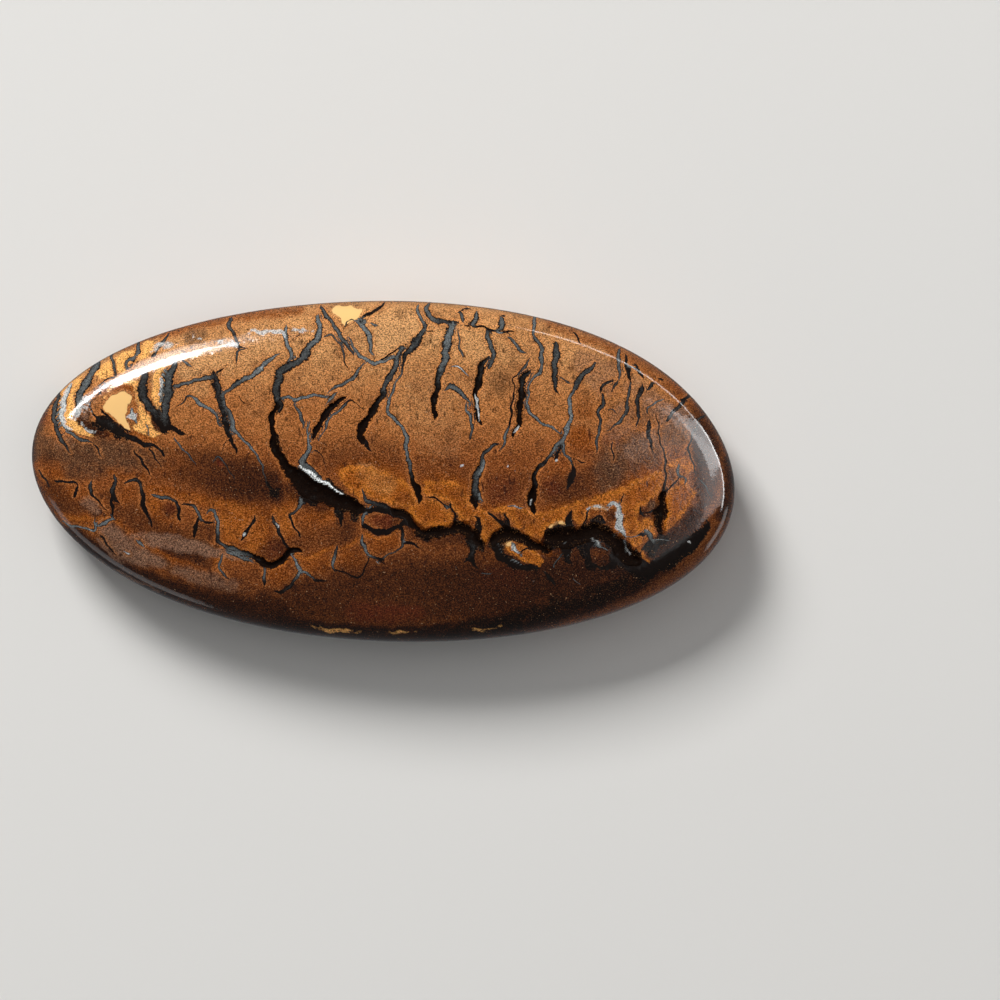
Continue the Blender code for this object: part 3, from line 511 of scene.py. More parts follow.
SEAMS_RIGHT_END = [
    [(12.3, 4.75, .06, .2), (12.0, 4.7, .1, .2), (11.75, 4.45, .1, .2), (11.6, 4.2, .05, .2)],
    [(11.7, 4.0, .08, .3), (11.75, 3.6, .12, .3), (11.55, 3.2, .13, .3), (11.6, 2.7, .1, .3),
     (11.5, 2.1, .09, .5), (11.45, 1.5, .09, .5), (11.38, 1.0, .04, .3)],
    [(12.5, 4.7, .07, .3), (12.25, 4.3, .05, .3)],
    [(12.6, 6.5, .1, .6), (12.6, 6.0, .12, .6), (12.65, 5.5, .12, .6), (12.6, 5.0, .08, .5)],
    [(12.95, 6.15, .06, .1), (13.05, 5.7, .1, .1), (13.1, 5.4, .16, .1), (13.15, 5.05, .13, .1)],
    [(13.5, 5.75, .05, .1), (13.7, 5.4, .1, .1), (13.9, 5.05, .08, .1)],
    [(10.2, 7.35, .05, .1), (10.45, 7.05, .07, .1), (10.6, 6.85, .03, .1)],
    [(13.15, 4.7, .06, .4), (13.2, 4.3, .08, .4), (13.1, 3.9, .1, .4), (13.0, 3.4, .12, .4),
     (12.9, 3.0, .13, .4), (12.75, 2.65, .1, .5), (12.3, 2.35, .05, .4), (11.9, 2.15, .03, .3)],
    [(12.1, 3.3, .03, .4), (12.3, 3.35, .04, .4), (12.4, 3.2, .03, .4)],
    [(13.85, 4.5, .08, .2), (13.7, 4.1, .15, .25), (13.6, 3.6, .12, .25), (13.6, 3.1, .1, .2),
     (13.6, 2.5, .05, .1)],
    [(14.4, 4.65, .1, .3), (14.1, 4.4, .06, .3)],
    [(14.9, 3.8, .05, .7), (14.5, 3.6, .08, .7), (14.2, 3.4, .06, .6), (14.1, 3.1, .05, .3)],
    [(16.0, 3.75, .14, .3), (15.7, 3.4, .12, .3), (15.4, 3.0, .1, .3), (15.1, 2.7, .05, .2)],
    [(15.95, 3.8, .07, 0), (16.4, 4.05, .1, 0)],
    [(13.0, 5.75, .04, .6), (13.5, 5.5, .05, .6)], [(14.85, 5.0, .06, .1), (15.0, 4.9, .05, .1)],
    [(16.9, 2.8, .08, .3), (17.2, 3.05, .06, .3)],
    [(16.85, 2.6, .04, .1), (16.75, 2.3, .06, .1), (16.5, 2.05, .06, .1), (16.4, 1.6, .06, .1),
     (16.35, 1.1, .07, 0), (16.5, .5, .06, 0), (16.6, .1, .05, .1), (16.7, -.1, .03, .1)],
    [(14.2, 2.6, .08, .15), (14.2, 2.1, .14, .15), (14.3, 1.5, .1, .1), (14.35, 1.1, .04, .1)],
    [(14.55, 3.0, .03, .1), (14.7, 2.4, .04, .1), (14.8, 1.8, .05, .05), (14.9, 1.2, .05, 0),
     (15.05, .7, .06, 0), (15.1, .2, .07, 0), (15.1, -.3, .07, 0), (14.97, -.8, .08, 0),
     (14.95, -1.25, .12, 0)],
    [(15.9, -.38, .04, 0), (15.6, -.57, .05, 0), (15.35, -.8, .05, 0), (15.1, -1.05, .07, 0)],
    [(14.1, -2.15, .04, 0), (14.4, -2.1, .07, 0), (14.7, -2.1, .1, 0)],
    [(15.8, .3, .07, .6), (15.75, 0, .08, .6), (15.9, -.3, .06, .5), (16.2, -.4, .06, .5),
     (16.1, -.7, .04, .4)],
    [(16.9, -.35, .04, .4), (17.1, -.5, .05, .4), (17.25, -.8, .05, .4), (17.5, -1.4, .03, .4)],
    [(12.25, 1.5, .04, .1), (12.28, 1.1, .06, .1), (12.3, .6, .04, .1)],
    # The grey seam that drops into the black hollow at the front.
    [(12.05, -1.85, .06, 1), (12.35, -1.72, .1, 1), (12.65, -1.85, .13, 1), (12.65, -2.3, .16, 1.1),
     (12.58, -2.65, .2, 1.1), (12.65, -3.0, .17, 1), (12.8, -3.3, .12, .9), (13.0, -3.5, .06, .8)],
    [(12.4, -3.4, .05, .5), (12.45, -3.7, .06, .6), (12.55, -4.0, .03, .4)],
    [(12.9, -3.75, .05, .6), (13.0, -4.1, .06, .8), (13.1, -4.4, .06, .9), (13.25, -4.55, .04, .7)],
    [(12.8, -1.3, .04, .1), (12.72, -1.6, .04, .1)],
    [(11.0, -2.0, .06, .9), (10.9, -2.15, .05, .3), (10.87, -2.5, .05, 0), (10.7, -2.95, .05, 0)],
    [(11.25, -2.6, .05, 0), (11.42, -2.42, .06, 0), (11.6, -2.42, .06, 0), (11.8, -2.7, .08, 0)],
    [(11.05, -3.62, .08, .7), (11.3, -3.68, .12, .7), (11.5, -3.92, .1, .7), (11.9, -4.2, .05, .6)],
    [(11.1, -3.5, .3, 0), (11.0, -4.2, .12, 0), (11.1, -4.85, .1, 0), (11.6, -5.2, .1, 0),
     (12.2, -5.05, .18, 0), (12.5, -4.6, .35, 0), (12.6, -4.1, .4, 0)],
    [(13.75, -3.35, .1, 0), (13.85, -3.38, .1, 0)],
    [(14.0, -3.2, .1, .7), (14.2, -3.45, .17, .7), (14.4, -3.75, .1, .6)],
    [(13.1, -3.45, .03, 1), (13.5, -3.45, .03, 1), (13.75, -3.4, .02, .9)],
    [(14.35, -3.75, .03, .9), (14.6, -3.62, .04, .9), (15.2, -3.65, .03, .8)],
    [(14.0, -2.35, .05, .1), (13.75, -2.2, .08, .1), (13.75, -2.0, .04, .1)],
    [(10.2, -5.75, .03, 1), (10.5, -5.95, .03, .9)],
    [(13.3, -5.0, .4, 0), (14.0, -5.2, .45, 0), (14.6, -4.95, .35, 0), (15.4, -4.5, .4, 0),
     (16.0, -4.1, .4, 0), (16.7, -3.6, .4, 0), (17.2, -3.0, .25, 0)],
    [(10.45, .62, .04, 0), (10.75, .5, .06, 0)],
]

# Colours of the ironstone between the seams, films of opal on it, and painted highlights,
# glints, reflections and shade, as soft strokes: x, y, radius, strength.
PALE_STROKES = [
    [(-10.2, 5.4, .7, .7), (-9.6, 4.4, .5, .4)], [(-1.0, -.1, .5, .5), (.2, -.8, .5, .6)],
    [(-16.9, 3.0, .35, .6), (-16.4, 4.2, .35, .7), (-15.6, 5.4, .4, .6), (-14.4, 6.1, .4, .5)],
    [(-17.3, 3.1, .09, .9), (-17.15, 4.1, .09, .8)], [(-16.75, 2.5, .12, .9), (-16.6, 3.8, .13, .9)],
    [(-12.0, 5.2, .2, .8), (-12.1, 4.6, .2, .9), (-11.9, 3.8, .18, .9), (-11.75, 3.3, .1, .8)],
    [(-13.1, 4.9, .14, .7), (-13.0, 4.0, .14, .7), (-12.9, 3.3, .14, .7), (-12.4, 2.4, .16, .6)],
    [(-10.3, 6.0, .8, .5), (-8.5, 6.3, .9, .55), (-6.8, 6.9, .8, .55), (-5.6, 7.2, .7, .55)],
    [(-1.3, 7.2, .8, .5), (.2, 7.3, 1.0, .9), (1.2, 7.9, .8, .8), (1.1, 7.1, .7, .8)],
    [(2.6, 7.2, .5, .5), (4.6, 6.9, .7, .4), (7, 6.4, .8, .3)],
    [(-3.8, 5.5, 1.5, .25), (-1, 4.5, 1.5, .2), (2.6, 3.6, 1.5, .4), (6.2, 3.4, 1.2, .15)],
    [(3.2, 1.8, 1.2, .3), (1.0, 3.0, 1.0, .3)], [(-6.9, 3.4, .8, .25)],
    [(7.8, -2.6, .3, .35), (8.3, -2.8, .3, .35)], [(6.75, -3.85, .15, 1.1), (6.85, -3.95, .12, 1)],
    [(8.95, -2.9, .07, 1.2), (9.45, -2.76, .1, 1.2), (9.7, -2.9, .07, 1.2)],
    [(11.2, -1.85, .14, .8), (11.6, -1.95, .12, .8), (11.9, -2.05, .08, .8)],
    [(14.3, -3.0, .09, .8), (14.2, -3.15, .08, .7)],
]
ORANGE_STROKES = [
    [(-2.1, .1, .35, .7), (-1.1, -.1, .6, 1), (0, -.7, .85, 1.2), (.9, -1.2, .6, 1.1),
     (1.5, -1.5, .35, 1)],
    [(2.6, -.7, .5, .8), (3.4, -.9, .6, 1), (4.3, -1.2, .5, .9), (4.6, -2.0, .5, .9),
     (5.4, -2.6, .35, .9), (5.45, -3.4, .2, .8)],
    [(2.2, -2.3, .7, .9), (3.1, -2.3, .6, .8)], [(3.9, -2.0, .4, .8), (4.5, -2.5, .35, .8)],
    [(5.6, -2.0, .3, .7), (6.5, -1.95, .25, .8), (7.3, -2.3, .45, .9), (7.9, -3.0, .4, .8),
     (8.4, -3.5, .3, .7)], [(5.9, -2.8, .35, .8), (5.7, -3.2, .25, .7)],
    [(8.6, -2.3, .3, .8), (9.5, -2.0, .35, .9), (10.5, -1.7, .3, .9), (11.5, -1.5, .3, .9),
     (12.6, -1.2, .35, .8), (13.4, -.8, .45, .8), (14.3, -.3, .4, .7), (14.85, .1, .2, .6)],
    [(10.4, -2.4, .3, .9), (11.2, -2.1, .25, .7)],
    [(13.1, -1.7, .3, .9), (13.3, -2.4, .4, .9), (13.4, -3.0, .4, .8), (13.4, -3.8, .3, .8),
     (13.8, -4.45, .16, .9), (14.15, -5.1, .12, .6)],
    [(14.2, -2.8, .25, .9)], [(14.2, -1.0, .4, .7), (14.5, -.6, .3, .7)],
    [(16.0, -1.0, .4, .7), (15.8, -1.8, .5, .8), (15.4, -2.7, .3, .8)],
    [(15.9, .6, .3, .7), (16.4, .1, .3, .8)],
    [(10.5, 1.7, .6, .8), (11.05, 1.5, .35, .9)], [(10.8, 3.2, .5, .5), (10.6, 4.2, .4, .4)],
    [(-18.2, -.2, .3, .7), (-17.2, -.3, .3, .6), (-16.2, -.2, .2, .4)],
    [(-17.9, -1.2, .4, .6), (-16.9, -1.2, .3, .5), (-15.9, -1.0, .3, .4)],
    [(-17.9, -2.1, .14, .8), (-17.0, -2.4, .15, 1.1), (-16.2, -2.5, .15, 1.1),
     (-15.4, -2.55, .12, 1.1), (-14.9, -2.4, .11, 1.1), (-14.6, -2.4, .11, 1),
     (-14.2, -2.7, .13, 1), (-13.6, -3.2, .13, 1), (-12.9, -3.6, .15, 1),
     (-12.3, -4.0, .15, 1), (-11.6, -4.5, .14, .9), (-11.0, -4.7, .13, .9),
     (-10.4, -4.8, .1, .8), (-10, -5.0, .08, .7)],
    [(-16.6, -2.7, .2, .8), (-15.8, -2.85, .2, .8)],
    [(-15.1, -.2, .1, .7), (-14.7, -.05, .1, .8), (-14.35, -.1, .1, .7), (-14.1, -.3, .1, .6)],
    [(-13.8, -.3, .15, .5), (-13.3, -.2, .1, .6), (-12.7, -.35, .1, .6)],
    [(-12.4, -1.0, .25, .8), (-12.2, -1.9, .3, .9), (-11.8, -2.6, .3, .7), (-11.3, -3.0, .4, .5)],
    [(-13.6, -1.2, .35, .6), (-13.7, -1.7, .3, .4)],
    [(-12.3, -.9, .2, .7), (-11.2, -1.15, .2, .8), (-10.2, -1.4, .22, .9), (-9.3, -1.6, .25, .9),
     (-8.5, -1.8, .3, 1), (-7.6, -2.0, .4, 1)],
    [(-8.2, -2.6, .6, 1), (-7.9, -3.4, .5, 1), (-7.0, -2.2, .5, .9), (-6.6, -3.0, .7, .9),
     (-6.9, -3.9, .5, 1)], [(-9.4, -2.4, .2, .9)],
    [(-5.4, -2.3, .5, 1), (-5.1, -3.0, .45, 1), (-4.8, -1.9, .3, .9), (-4.75, -1.3, .2, .9)],
    [(-3.7, -2.3, .5, .7), (-3.0, -2.3, .4, .8)], [(-3.9, -3.0, .5, .4)],
    [(-5.6, -5.5, .6, .75)], [(-3.8, -4.95, .5, .8), (-3.2, -4.9, .4, .75)],
    [(-1.9, -4.6, .5, .7), (-1.4, -4.8, .45, .65)], [(-.2, -4.0, .4, .75), (.4, -3.8, .4, .7)],
    [(-7.8, -5.2, .7, .3), (-6.9, -5.5, .5, .25)],
    [(-9.0, -5.0, .12, .9), (-8.75, -4.6, .1, 1.1), (-8.6, -4.3, .08, 1)],
    [(-6.2, -5.08, .08, 1), (-5.6, -5.12, .1, 1), (-5.2, -4.85, .1, 1.1), (-4.95, -4.42, .1, 1.1),
     (-4.2, -4.62, .12, 1.1), (-3.6, -4.55, .13, 1.1), (-3.1, -4.3, .13, 1.1),
     (-2.75, -4.05, .1, 1)],
    [(-2.3, -4.08, .09, .9), (-1.8, -3.98, .12, 1), (-1.3, -3.65, .12, 1)],
    [(-1.0, -3.42, .08, 1), (-.4, -3.52, .09, 1.1), (.2, -3.52, .1, 1.1), (.6, -3.33, .1, 1),
     (.95, -3.1, .08, .9)],
    [(6.7, -4.05, .2, 1.1), (7.4, -4.4, .25, .8), (8.2, -4.8, .25, .8)],
    [(5.6, -4.7, .45, .5)], [(9.1, -4.6, .35, .4)], [(11.6, -4.5, .4, .7)],
    [(12.0, -2.3, .2, .4)],
    [(9.6, .6, .5, .5), (9.2, -.2, .5, .4)], [(0, -2.6, .45, .4)],
    [(9.0, 8.0, .4, .5), (12, 6.8, .35, .6), (14.5, 5.3, .35, .6), (16.4, 3.7, .3, .7),
     (17.6, 2.3, .3, .6), (18.3, 1, .25, .4)],
    [(-15.0, 6.3, .3, .5), (-12, 7.4, .3, .6), (-8, 8.3, .3, .6), (-4.5, 8.6, .3, .6)],
    [(-15.4, 2.1, .2, .5), (-14.3, 1.9, .15, .7), (-13.2, 1.9, .15, .8), (-12.3, 1.7, .2, .8)],
    [(-15.2, 4.3, .12, .8), (-14.5, 4.5, .14, .9), (-13.8, 4.55, .14, .9), (-13.2, 4.3, .12, .8),
     (-13.15, 3.6, .12, .7)],
]
DARK_AND_SHADE_STROKES = [
    [(-12.5, -2.6, .35, .5), (-11.4, -3.2, .35, .55), (-10.3, -3.5, .3, .5)],
    [(-14.5, -1.3, .3, .5), (-14.1, -2.3, .35, .5)], [(-18.2, -1.1, .3, .5), (-17.0, -1.3, .25, .5)],
    [(-17.4, -3.0, .2, .9), (-16.4, -4.1, .25, 1), (-15, -5.1, .3, 1), (-13.5, -6.0, .35, 1),
     (-11.5, -6.9, .4, 1)],
    [(-6.3, -7.2, .8, .85), (-5.8, -7.9, .8, .9)], [(-12.1, 3.0, .3, .9), (-11.9, 2.5, .35, .9)],
    [(-17.6, -1.0, .5, .55)], [(16.2, -2.0, .3, .35)],
    [(-16.2, 2.7, .2, .8), (-15.8, 2.4, .3, 1), (-15.3, 2.15, .25, 1), (-14.8, 1.9, .2, .8)],
    [(16.7, 2.5, .4, .9), (17.0, 1.8, .45, 1), (17.1, 1.0, .4, .9), (17.1, 0, .4, .8),
     (17.1, -1.2, .35, .8)], [(15.8, 3.1, .45, .5)],
    # Painted shade: these two rows darken the left rim and the front rim.
    [(-18.9, 2.2, .25, .7), (-19, 0, .3, .7), (-18.6, -1.8, .25, .7), (-17.3, -3.3, .2, .8)],
    [(-10, -7.6, .5, 1), (-7, -8.3, .5, 1), (-4, -8.7, .5, 1.1)],
    [(16.7, 3.0, .4, .6), (17.3, 2.0, .4, .8), (17.5, 1.0, .45, .9), (17.5, -.4, .4, .8),
     (17.2, -1.6, .3, .8), (16.5, -2.4, .25, .8)],
    [(1.5, -2.9, .4, .6), (2.4, -3.5, .4, .6), (4.4, -3.5, .5, .7), (5.2, -4.2, .5, .6)],
    [(9.0, -3.6, .7, .9), (10.4, -3.7, .7, .9), (11.6, -3.7, .6, .8), (12.8, -4.4, .6, .9)],
    [(-4.6, -1.0, .6, .7), (-3.2, -1.7, .5, .7)],
    [(14.7, -2.3, .45, .6), (14.0, -2.3, .3, .6)],
    [(-16.7, -3.4, .45, .9), (-15.6, -4.1, .4, 1), (-14.3, -5.0, .35, 1), (-12.6, -5.8, .45, .9),
     (-10, -6.8, .6, .9), (-7, -7.5, .7, .9)],
    # Dark ironstone across the front; the row after it is painted shade along the front rim.
    [(-4.6, -6.9, 1.0, .75), (-2.5, -6.7, 1.2, .75), (0, -6.5, 1.6, .75), (4, -6.4, 1.6, .85),
     (8, -6.3, 1.5, 1), (11, -5.8, 1.3, 1), (13.4, -5.4, .8, 1.1)],
    [(-5.5, -7.2, .5, .9), (-5, -8.2, .5, 1), (-2, -8.6, .4, 1.1), (2, -8.7, .4, 1.1),
     (6, -8.2, .6, 1.2), (9.5, -7.2, .7, 1.2), (12.5, -6.2, .6, 1.2), (15, -4.9, .5, 1.1)],
    [(-12.5, .4, .8, .3), (-11, .3, .9, .45), (-9.5, .1, 1.0, .65), (-8.2, -.3, 1.0, .78),
     (-7, -.6, 1.0, .85), (-6, -.8, .7, .85), (-5.6, -1.3, .35, .9)],
    [(-3.2, 1.0, .6, .35), (-1.5, 1.0, .7, .35), (.3, .9, .7, .35)],
    [(2.2, .2, .6, .2), (3.2, .2, .6, .25), (4.3, .1, .5, .3)],
    [(6.0, -.8, .6, .4), (7.0, -.9, .6, .4)], [(7.5, -.4, .4, .4)],
    [(9.0, -1.1, .6, .55), (10.3, -.9, .7, .6), (10.9, -.2, .4, .5)],
    [(-2.0, -2.6, .4, .6), (-2.0, -3.3, .5, .6), (-3.1, -3.5, .5, .4), (-4.3, -3.7, .5, .4)],
    [(-6.2, -4.3, .4, .5), (-5.5, -4.1, .5, .7)], [(.5, -2.75, .5, .6)],
    [(2.6, -3.9, .6, .4), (2.2, -4.6, .7, .45), (.8, -5.2, .7, .6)],
    [(-17.9, .7, .4, .5)], [(-17.2, -1.8, .4, .6), (-16.2, -1.9, .3, .5)],
    [(-13.3, -2.4, .6, .55), (-12.7, -3.0, .4, .55)], [(-11.3, -2.0, .3, .6)],
    [(-11.6, -4.1, .25, .8), (-10.8, -4.35, .25, .8), (-9.8, -4.6, .35, .8), (-9.3, -4.9, .3, .6)],
    [(-9.9, -3.2, .5, .45), (-9.3, -3.3, .4, .5)], [(-14.2, -.5, .4, .3)],
    [(6.3, 4.7, .6, .5)], [(11.2, -2.7, .3, .5)], [(12.15, -2.35, .25, .7)],
    [(5.6, -4.15, .3, .6)], [(13.9, -2.2, .3, .6)],
    [(10.4, -4.6, .5, .7), (10.3, -5.1, .6, .8)], [(15.0, -3.5, .3, .8), (14.3, -4.2, .3, .8)],
    [(16.7, -2.4, .45, .95), (16.0, -3.2, .5, 1), (14.9, -4.2, .4, 1)], [(15.4, -3.0, .4, .5)],
    [(1.6, -3.6, .4, .4)], [(-6.9, -5.9, .6, .4), (-8.5, -6.4, .6, .5)],
    [(18.5, .5, .3, .7), (18.5, -1, .3, .7), (18.1, -2.3, .3, .8)],
]
# Grey-brown: mostly painted sheen, the dim reflection at both ends, along the lower left rim and near
# the back edge, and in a band at the left end the stone's own grey.
ASH_AND_SHEEN_STROKES = [
    [(-18.75, 1.0, .4, .9), (-18.6, 2.2, .35, .9), (-18.2, 3.3, .3, .9), (-17.7, 4.1, .2, .8)],
    [(13.4, 1.6, .5, .6), (12.6, .8, .6, .7)], [(16.9, 2.2, .3, .8), (17.0, .8, .4, .8)],
    [(-15.9, 3.0, .3, .9), (-15.6, 3.6, .2, .7)],
    [(-18.5, 1.6, .5, .8), (-17.8, 1.3, .6, .7), (-16.4, 1.0, .7, .8), (-14.8, 1.0, .7, .8),
     (-13.2, .8, .7, .7), (-12, .7, .5, .5)], [(-16.4, .2, .6, .7), (-15, .2, .5, .6)],
    [(-12.2, -3.6, .35, .7), (-11.2, -3.8, .38, .8), (-10, -4.0, .35, .8), (-9.0, -4.2, .25, .7)],
    [(-14.6, -3.4, .5, .7), (-13.8, -4.2, .5, .75), (-12.6, -4.6, .4, .7), (-11.5, -4.9, .2, .6)],
    [(-11.5, -5.1, .2, .5), (-10.2, -5.5, .3, .6), (-9, -5.9, .4, .6), (-7.6, -6.2, .4, .4)],
    [(-15.7, -1.8, .35, .6), (-15.3, -2.2, .25, .6)],
    [(12.2, 1.0, .6, .6), (12.2, .2, .8, .8), (11.8, -.6, .5, .7)],
    [(13.2, .6, .6, .6), (14.3, 1.4, .5, .7), (14.4, .5, .4, .6)],
    [(15.0, 1.9, .5, .6), (15.7, 1.9, .6, .6)],
    [(12.2, 3.4, .4, .4), (13.4, 3.2, .5, .5), (14.6, 2.9, .5, .5)],
    [(15.5, -.1, .35, .5)], [(14.35, -1.8, .25, .9)],
    [(-10.3, 7.1, .35, .7), (-9.6, 7.3, .3, .6)], [(3, 8.3, .3, .4)],
    [(-16.9, -3.3, .1, .7), (-15.3, -4.7, .12, .7), (-13.6, -5.8, .14, .7), (-11.5, -6.7, .14, .6)],
    [(16.0, 2.6, .4, .6)],
]
# Painted reflection: a light grey-brown sheen along the lower left rim, across the lower left, at the
# left end and at the right end.
PAINTED_REFLECTION_STROKES = [
    [(-17.6, -2.65, .06, .8), (-17.0, -3.4, .07, .9), (-16.2, -4.15, .07, .9), (-15, -4.95, .07, .9),
     (-13.5, -5.75, .07, .8), (-12, -6.4, .07, .6)],
    [(-13.3, -3.5, .18, .7), (-12.2, -3.65, .3, .9), (-11.0, -3.85, .32, 1), (-10, -4.08, .28, 1),
     (-9.0, -4.32, .2, 1), (-8.0, -4.5, .16, .9), (-7.0, -4.72, .1, .6)],
    [(-14.9, -3.0, .3, .7), (-14.3, -3.6, .5, 1), (-13.6, -4.2, .5, 1), (-12.7, -4.65, .35, .9),
     (-11.8, -4.95, .2, .8)],
    [(-15.4, -3.35, .05, .9), (-15.0, -3.9, .07, .9), (-14.3, -4.6, .07, .9), (-13.8, -4.95, .05, .8)],
    [(-11, -5.3, .25, .6), (-9.6, -5.7, .35, .6), (-8, -6.1, .35, .5)],
    [(-15.8, -1.6, .3, .6), (-15.2, -2.1, .2, .7)], [(-17, 1.6, .5, .4)],
    [(-15.95, 2.9, .2, .6), (-15.65, 3.4, .15, .6)],
    [(12.4, 2.2, .5, .5), (12.8, 3.2, .5, .5)], [(13.3, 1.0, .5, .5), (14.3, 1.7, .4, .6)],
    [(11.8, 4.6, .6, .5), (10.6, 6.0, .5, .5), (12.3, 5.4, .4, .5)],
    [(13.4, 4.6, .5, .5), (14.3, 3.8, .5, .6), (15.4, 2.8, .5, .8)], [(15.9, 3.2, .3, .8)],
]
OPAL_FILM_AND_HIGHLIGHT_STROKES = [
    # Painted highlight: the strip of light along the upper left shoulder, and the broken highlights
    # and grey reflections near the back edge; a few rows at the cream lens are light opal.
    [(-16.7, 4.6, .08, .9), (-17.0, 4.0, .1, 1.1), (-17.12, 3.4, .12, 1.2), (-17.05, 2.8, .12, 1.1),
     (-16.85, 2.4, .09, .9), (-16.5, 2.1, .06, .6)],
    [(-16.5, 2.85, .14, .9), (-16.2, 3.3, .16, 1), (-15.9, 3.9, .14, .9)],
    [(-15.85, 3.1, .1, .7), (-15.7, 3.7, .1, .8), (-15.45, 4.0, .08, .7)],
    [(-15.1, 4.4, .07, .8), (-14.4, 4.8, .09, .9), (-13.5, 4.95, .09, .9)],
    [(-16.1, 2.6, .08, .7), (-15.7, 2.25, .1, .7), (-15.2, 2.1, .06, .7)],
    [(-15.45, 3.9, .05, .7), (-15.6, 3.4, .05, .8), (-15.45, 2.9, .05, .7)],
    [(-13.5, 2.95, .1, .9), (-13.25, 2.95, .17, 1.2), (-13.1, 3.05, .08, .8)],
    [(-11.7, 5.2, .07, .8), (-11.85, 4.5, .08, .9), (-11.85, 3.8, .05, .7)],
    [(-12.4, 6.3, .1, .6), (-12.0, 6.7, .16, .8), (-11.5, 6.75, .2, .8), (-11.0, 6.7, .14, .6)],
    [(-10.9, 7.0, .2, .45), (-10.2, 7.05, .28, .5), (-9.4, 7.1, .2, .45)],
    [(-8.9, 6.85, .14, .7), (-8.2, 6.85, .2, .8), (-7.8, 6.75, .14, 1)],
    [(-7.2, 7.4, .08, .8), (-6.9, 7.5, .1, 1), (-6.55, 7.35, .08, .9), (-6.1, 7.5, .1, 1.1),
     (-5.5, 7.5, .08, 1.1), (-5.25, 7.3, .07, 1), (-5.2, 7.1, .07, .9)],
    [(-4.8, 7.5, .1, .8), (-4.3, 7.55, .1, .9), (-3.7, 7.45, .06, .7)],
    # Films of light opal on the lens and the seams at the right.
    [(6.9, -3.9, .06, .9), (7.0, -4.15, .11, 1.1), (7.25, -4.35, .07, .9)],
    [(10.85, -2.0, .05, .8), (11.3, -1.82, .06, .9), (11.65, -1.95, .07, 1), (11.95, -2.05, .05, .8)],
    [(12.1, -1.85, .07, .8), (12.4, -1.72, .1, .9), (12.6, -1.95, .14, .9), (12.62, -2.3, .17, .9),
     (12.55, -2.7, .18, 1), (12.65, -3.05, .14, .9), (12.85, -3.3, .1, .8), (13.05, -3.5, .05, .7)],
    [(12.9, -3.8, .04, .6), (13.15, -4.4, .06, .8)], [(7.0, -1.88, .05, .8), (7.35, -1.93, .05, .8)],
    [(14.05, -3.15, .08, .6), (14.3, -3.6, .08, .6)], [(11.15, -3.6, .1, .6), (11.6, -3.9, .08, .6)],
    # Painted glints: small white sparks of light in the open seams and elsewhere on the polish.
    [(4.95, 4.05, .04, 1), (4.99, 3.7, .06, 1.3), (5.04, 3.4, .05, 1.3), (5.12, 3.1, .04, 1.1),
     (5.22, 2.75, .03, 1)],
    [(7.22, 2.42, .04, 1.1), (7.17, 2.2, .06, 1.4), (7.08, 1.98, .04, 1.1)],
    [(9.22, .64, .05, 1.4), (9.25, .62, .05, 1.4)], [(7.93, -1.45, .05, 1), (7.9, -1.75, .04, 1)],
    [(-7.3, -3.3, .04, 1.1), (-7.42, -3.45, .04, 1.1)],
    [(-5.7, -2.85, .05, 1), (-5.6, -3.05, .04, 1)],
    [(4.28, .25, .06, 1.6)], [(16.4, -3.75, .05, 1.6)], [(6.68, .3, .05, 1.2)], [(7.1, .05, .05, 1)],
]

# Patches with a sharp border, as outlines in millimetres: x, y.
CREAM_PATCHES = [
    [(-14.9, 3.4), (-14.75, 3.8), (-14.45, 4.05), (-14.1, 4.2), (-13.7, 4.2), (-13.4, 4.05),
     (-13.42, 3.8), (-13.62, 3.5), (-13.66, 3.1), (-13.6, 2.7), (-13.42, 2.3), (-13.45, 2.15),
     (-13.8, 2.35), (-14.25, 2.8), (-14.6, 3.15)],
    [(-2.85, 8.62), (-2.4, 8.85), (-1.6, 8.9), (-1.1, 8.55), (-1.25, 8.2), (-1.5, 8.0), (-1.85, 8.0),
     (-2.0, 7.75), (-2.12, 7.8), (-2.3, 8.2), (-2.6, 8.45)],
    [(6.62, -3.85), (6.72, -3.76), (6.95, -3.8), (6.9, -3.95), (6.7, -4.0)],
    [(8.88, -2.98), (8.95, -2.82), (9.08, -2.85), (9.02, -3.0)],
    [(9.35, -2.82), (9.42, -2.7), (9.6, -2.68), (9.66, -2.8)],
    [(9.7, -2.98), (9.75, -2.86), (9.86, -2.95)],
]
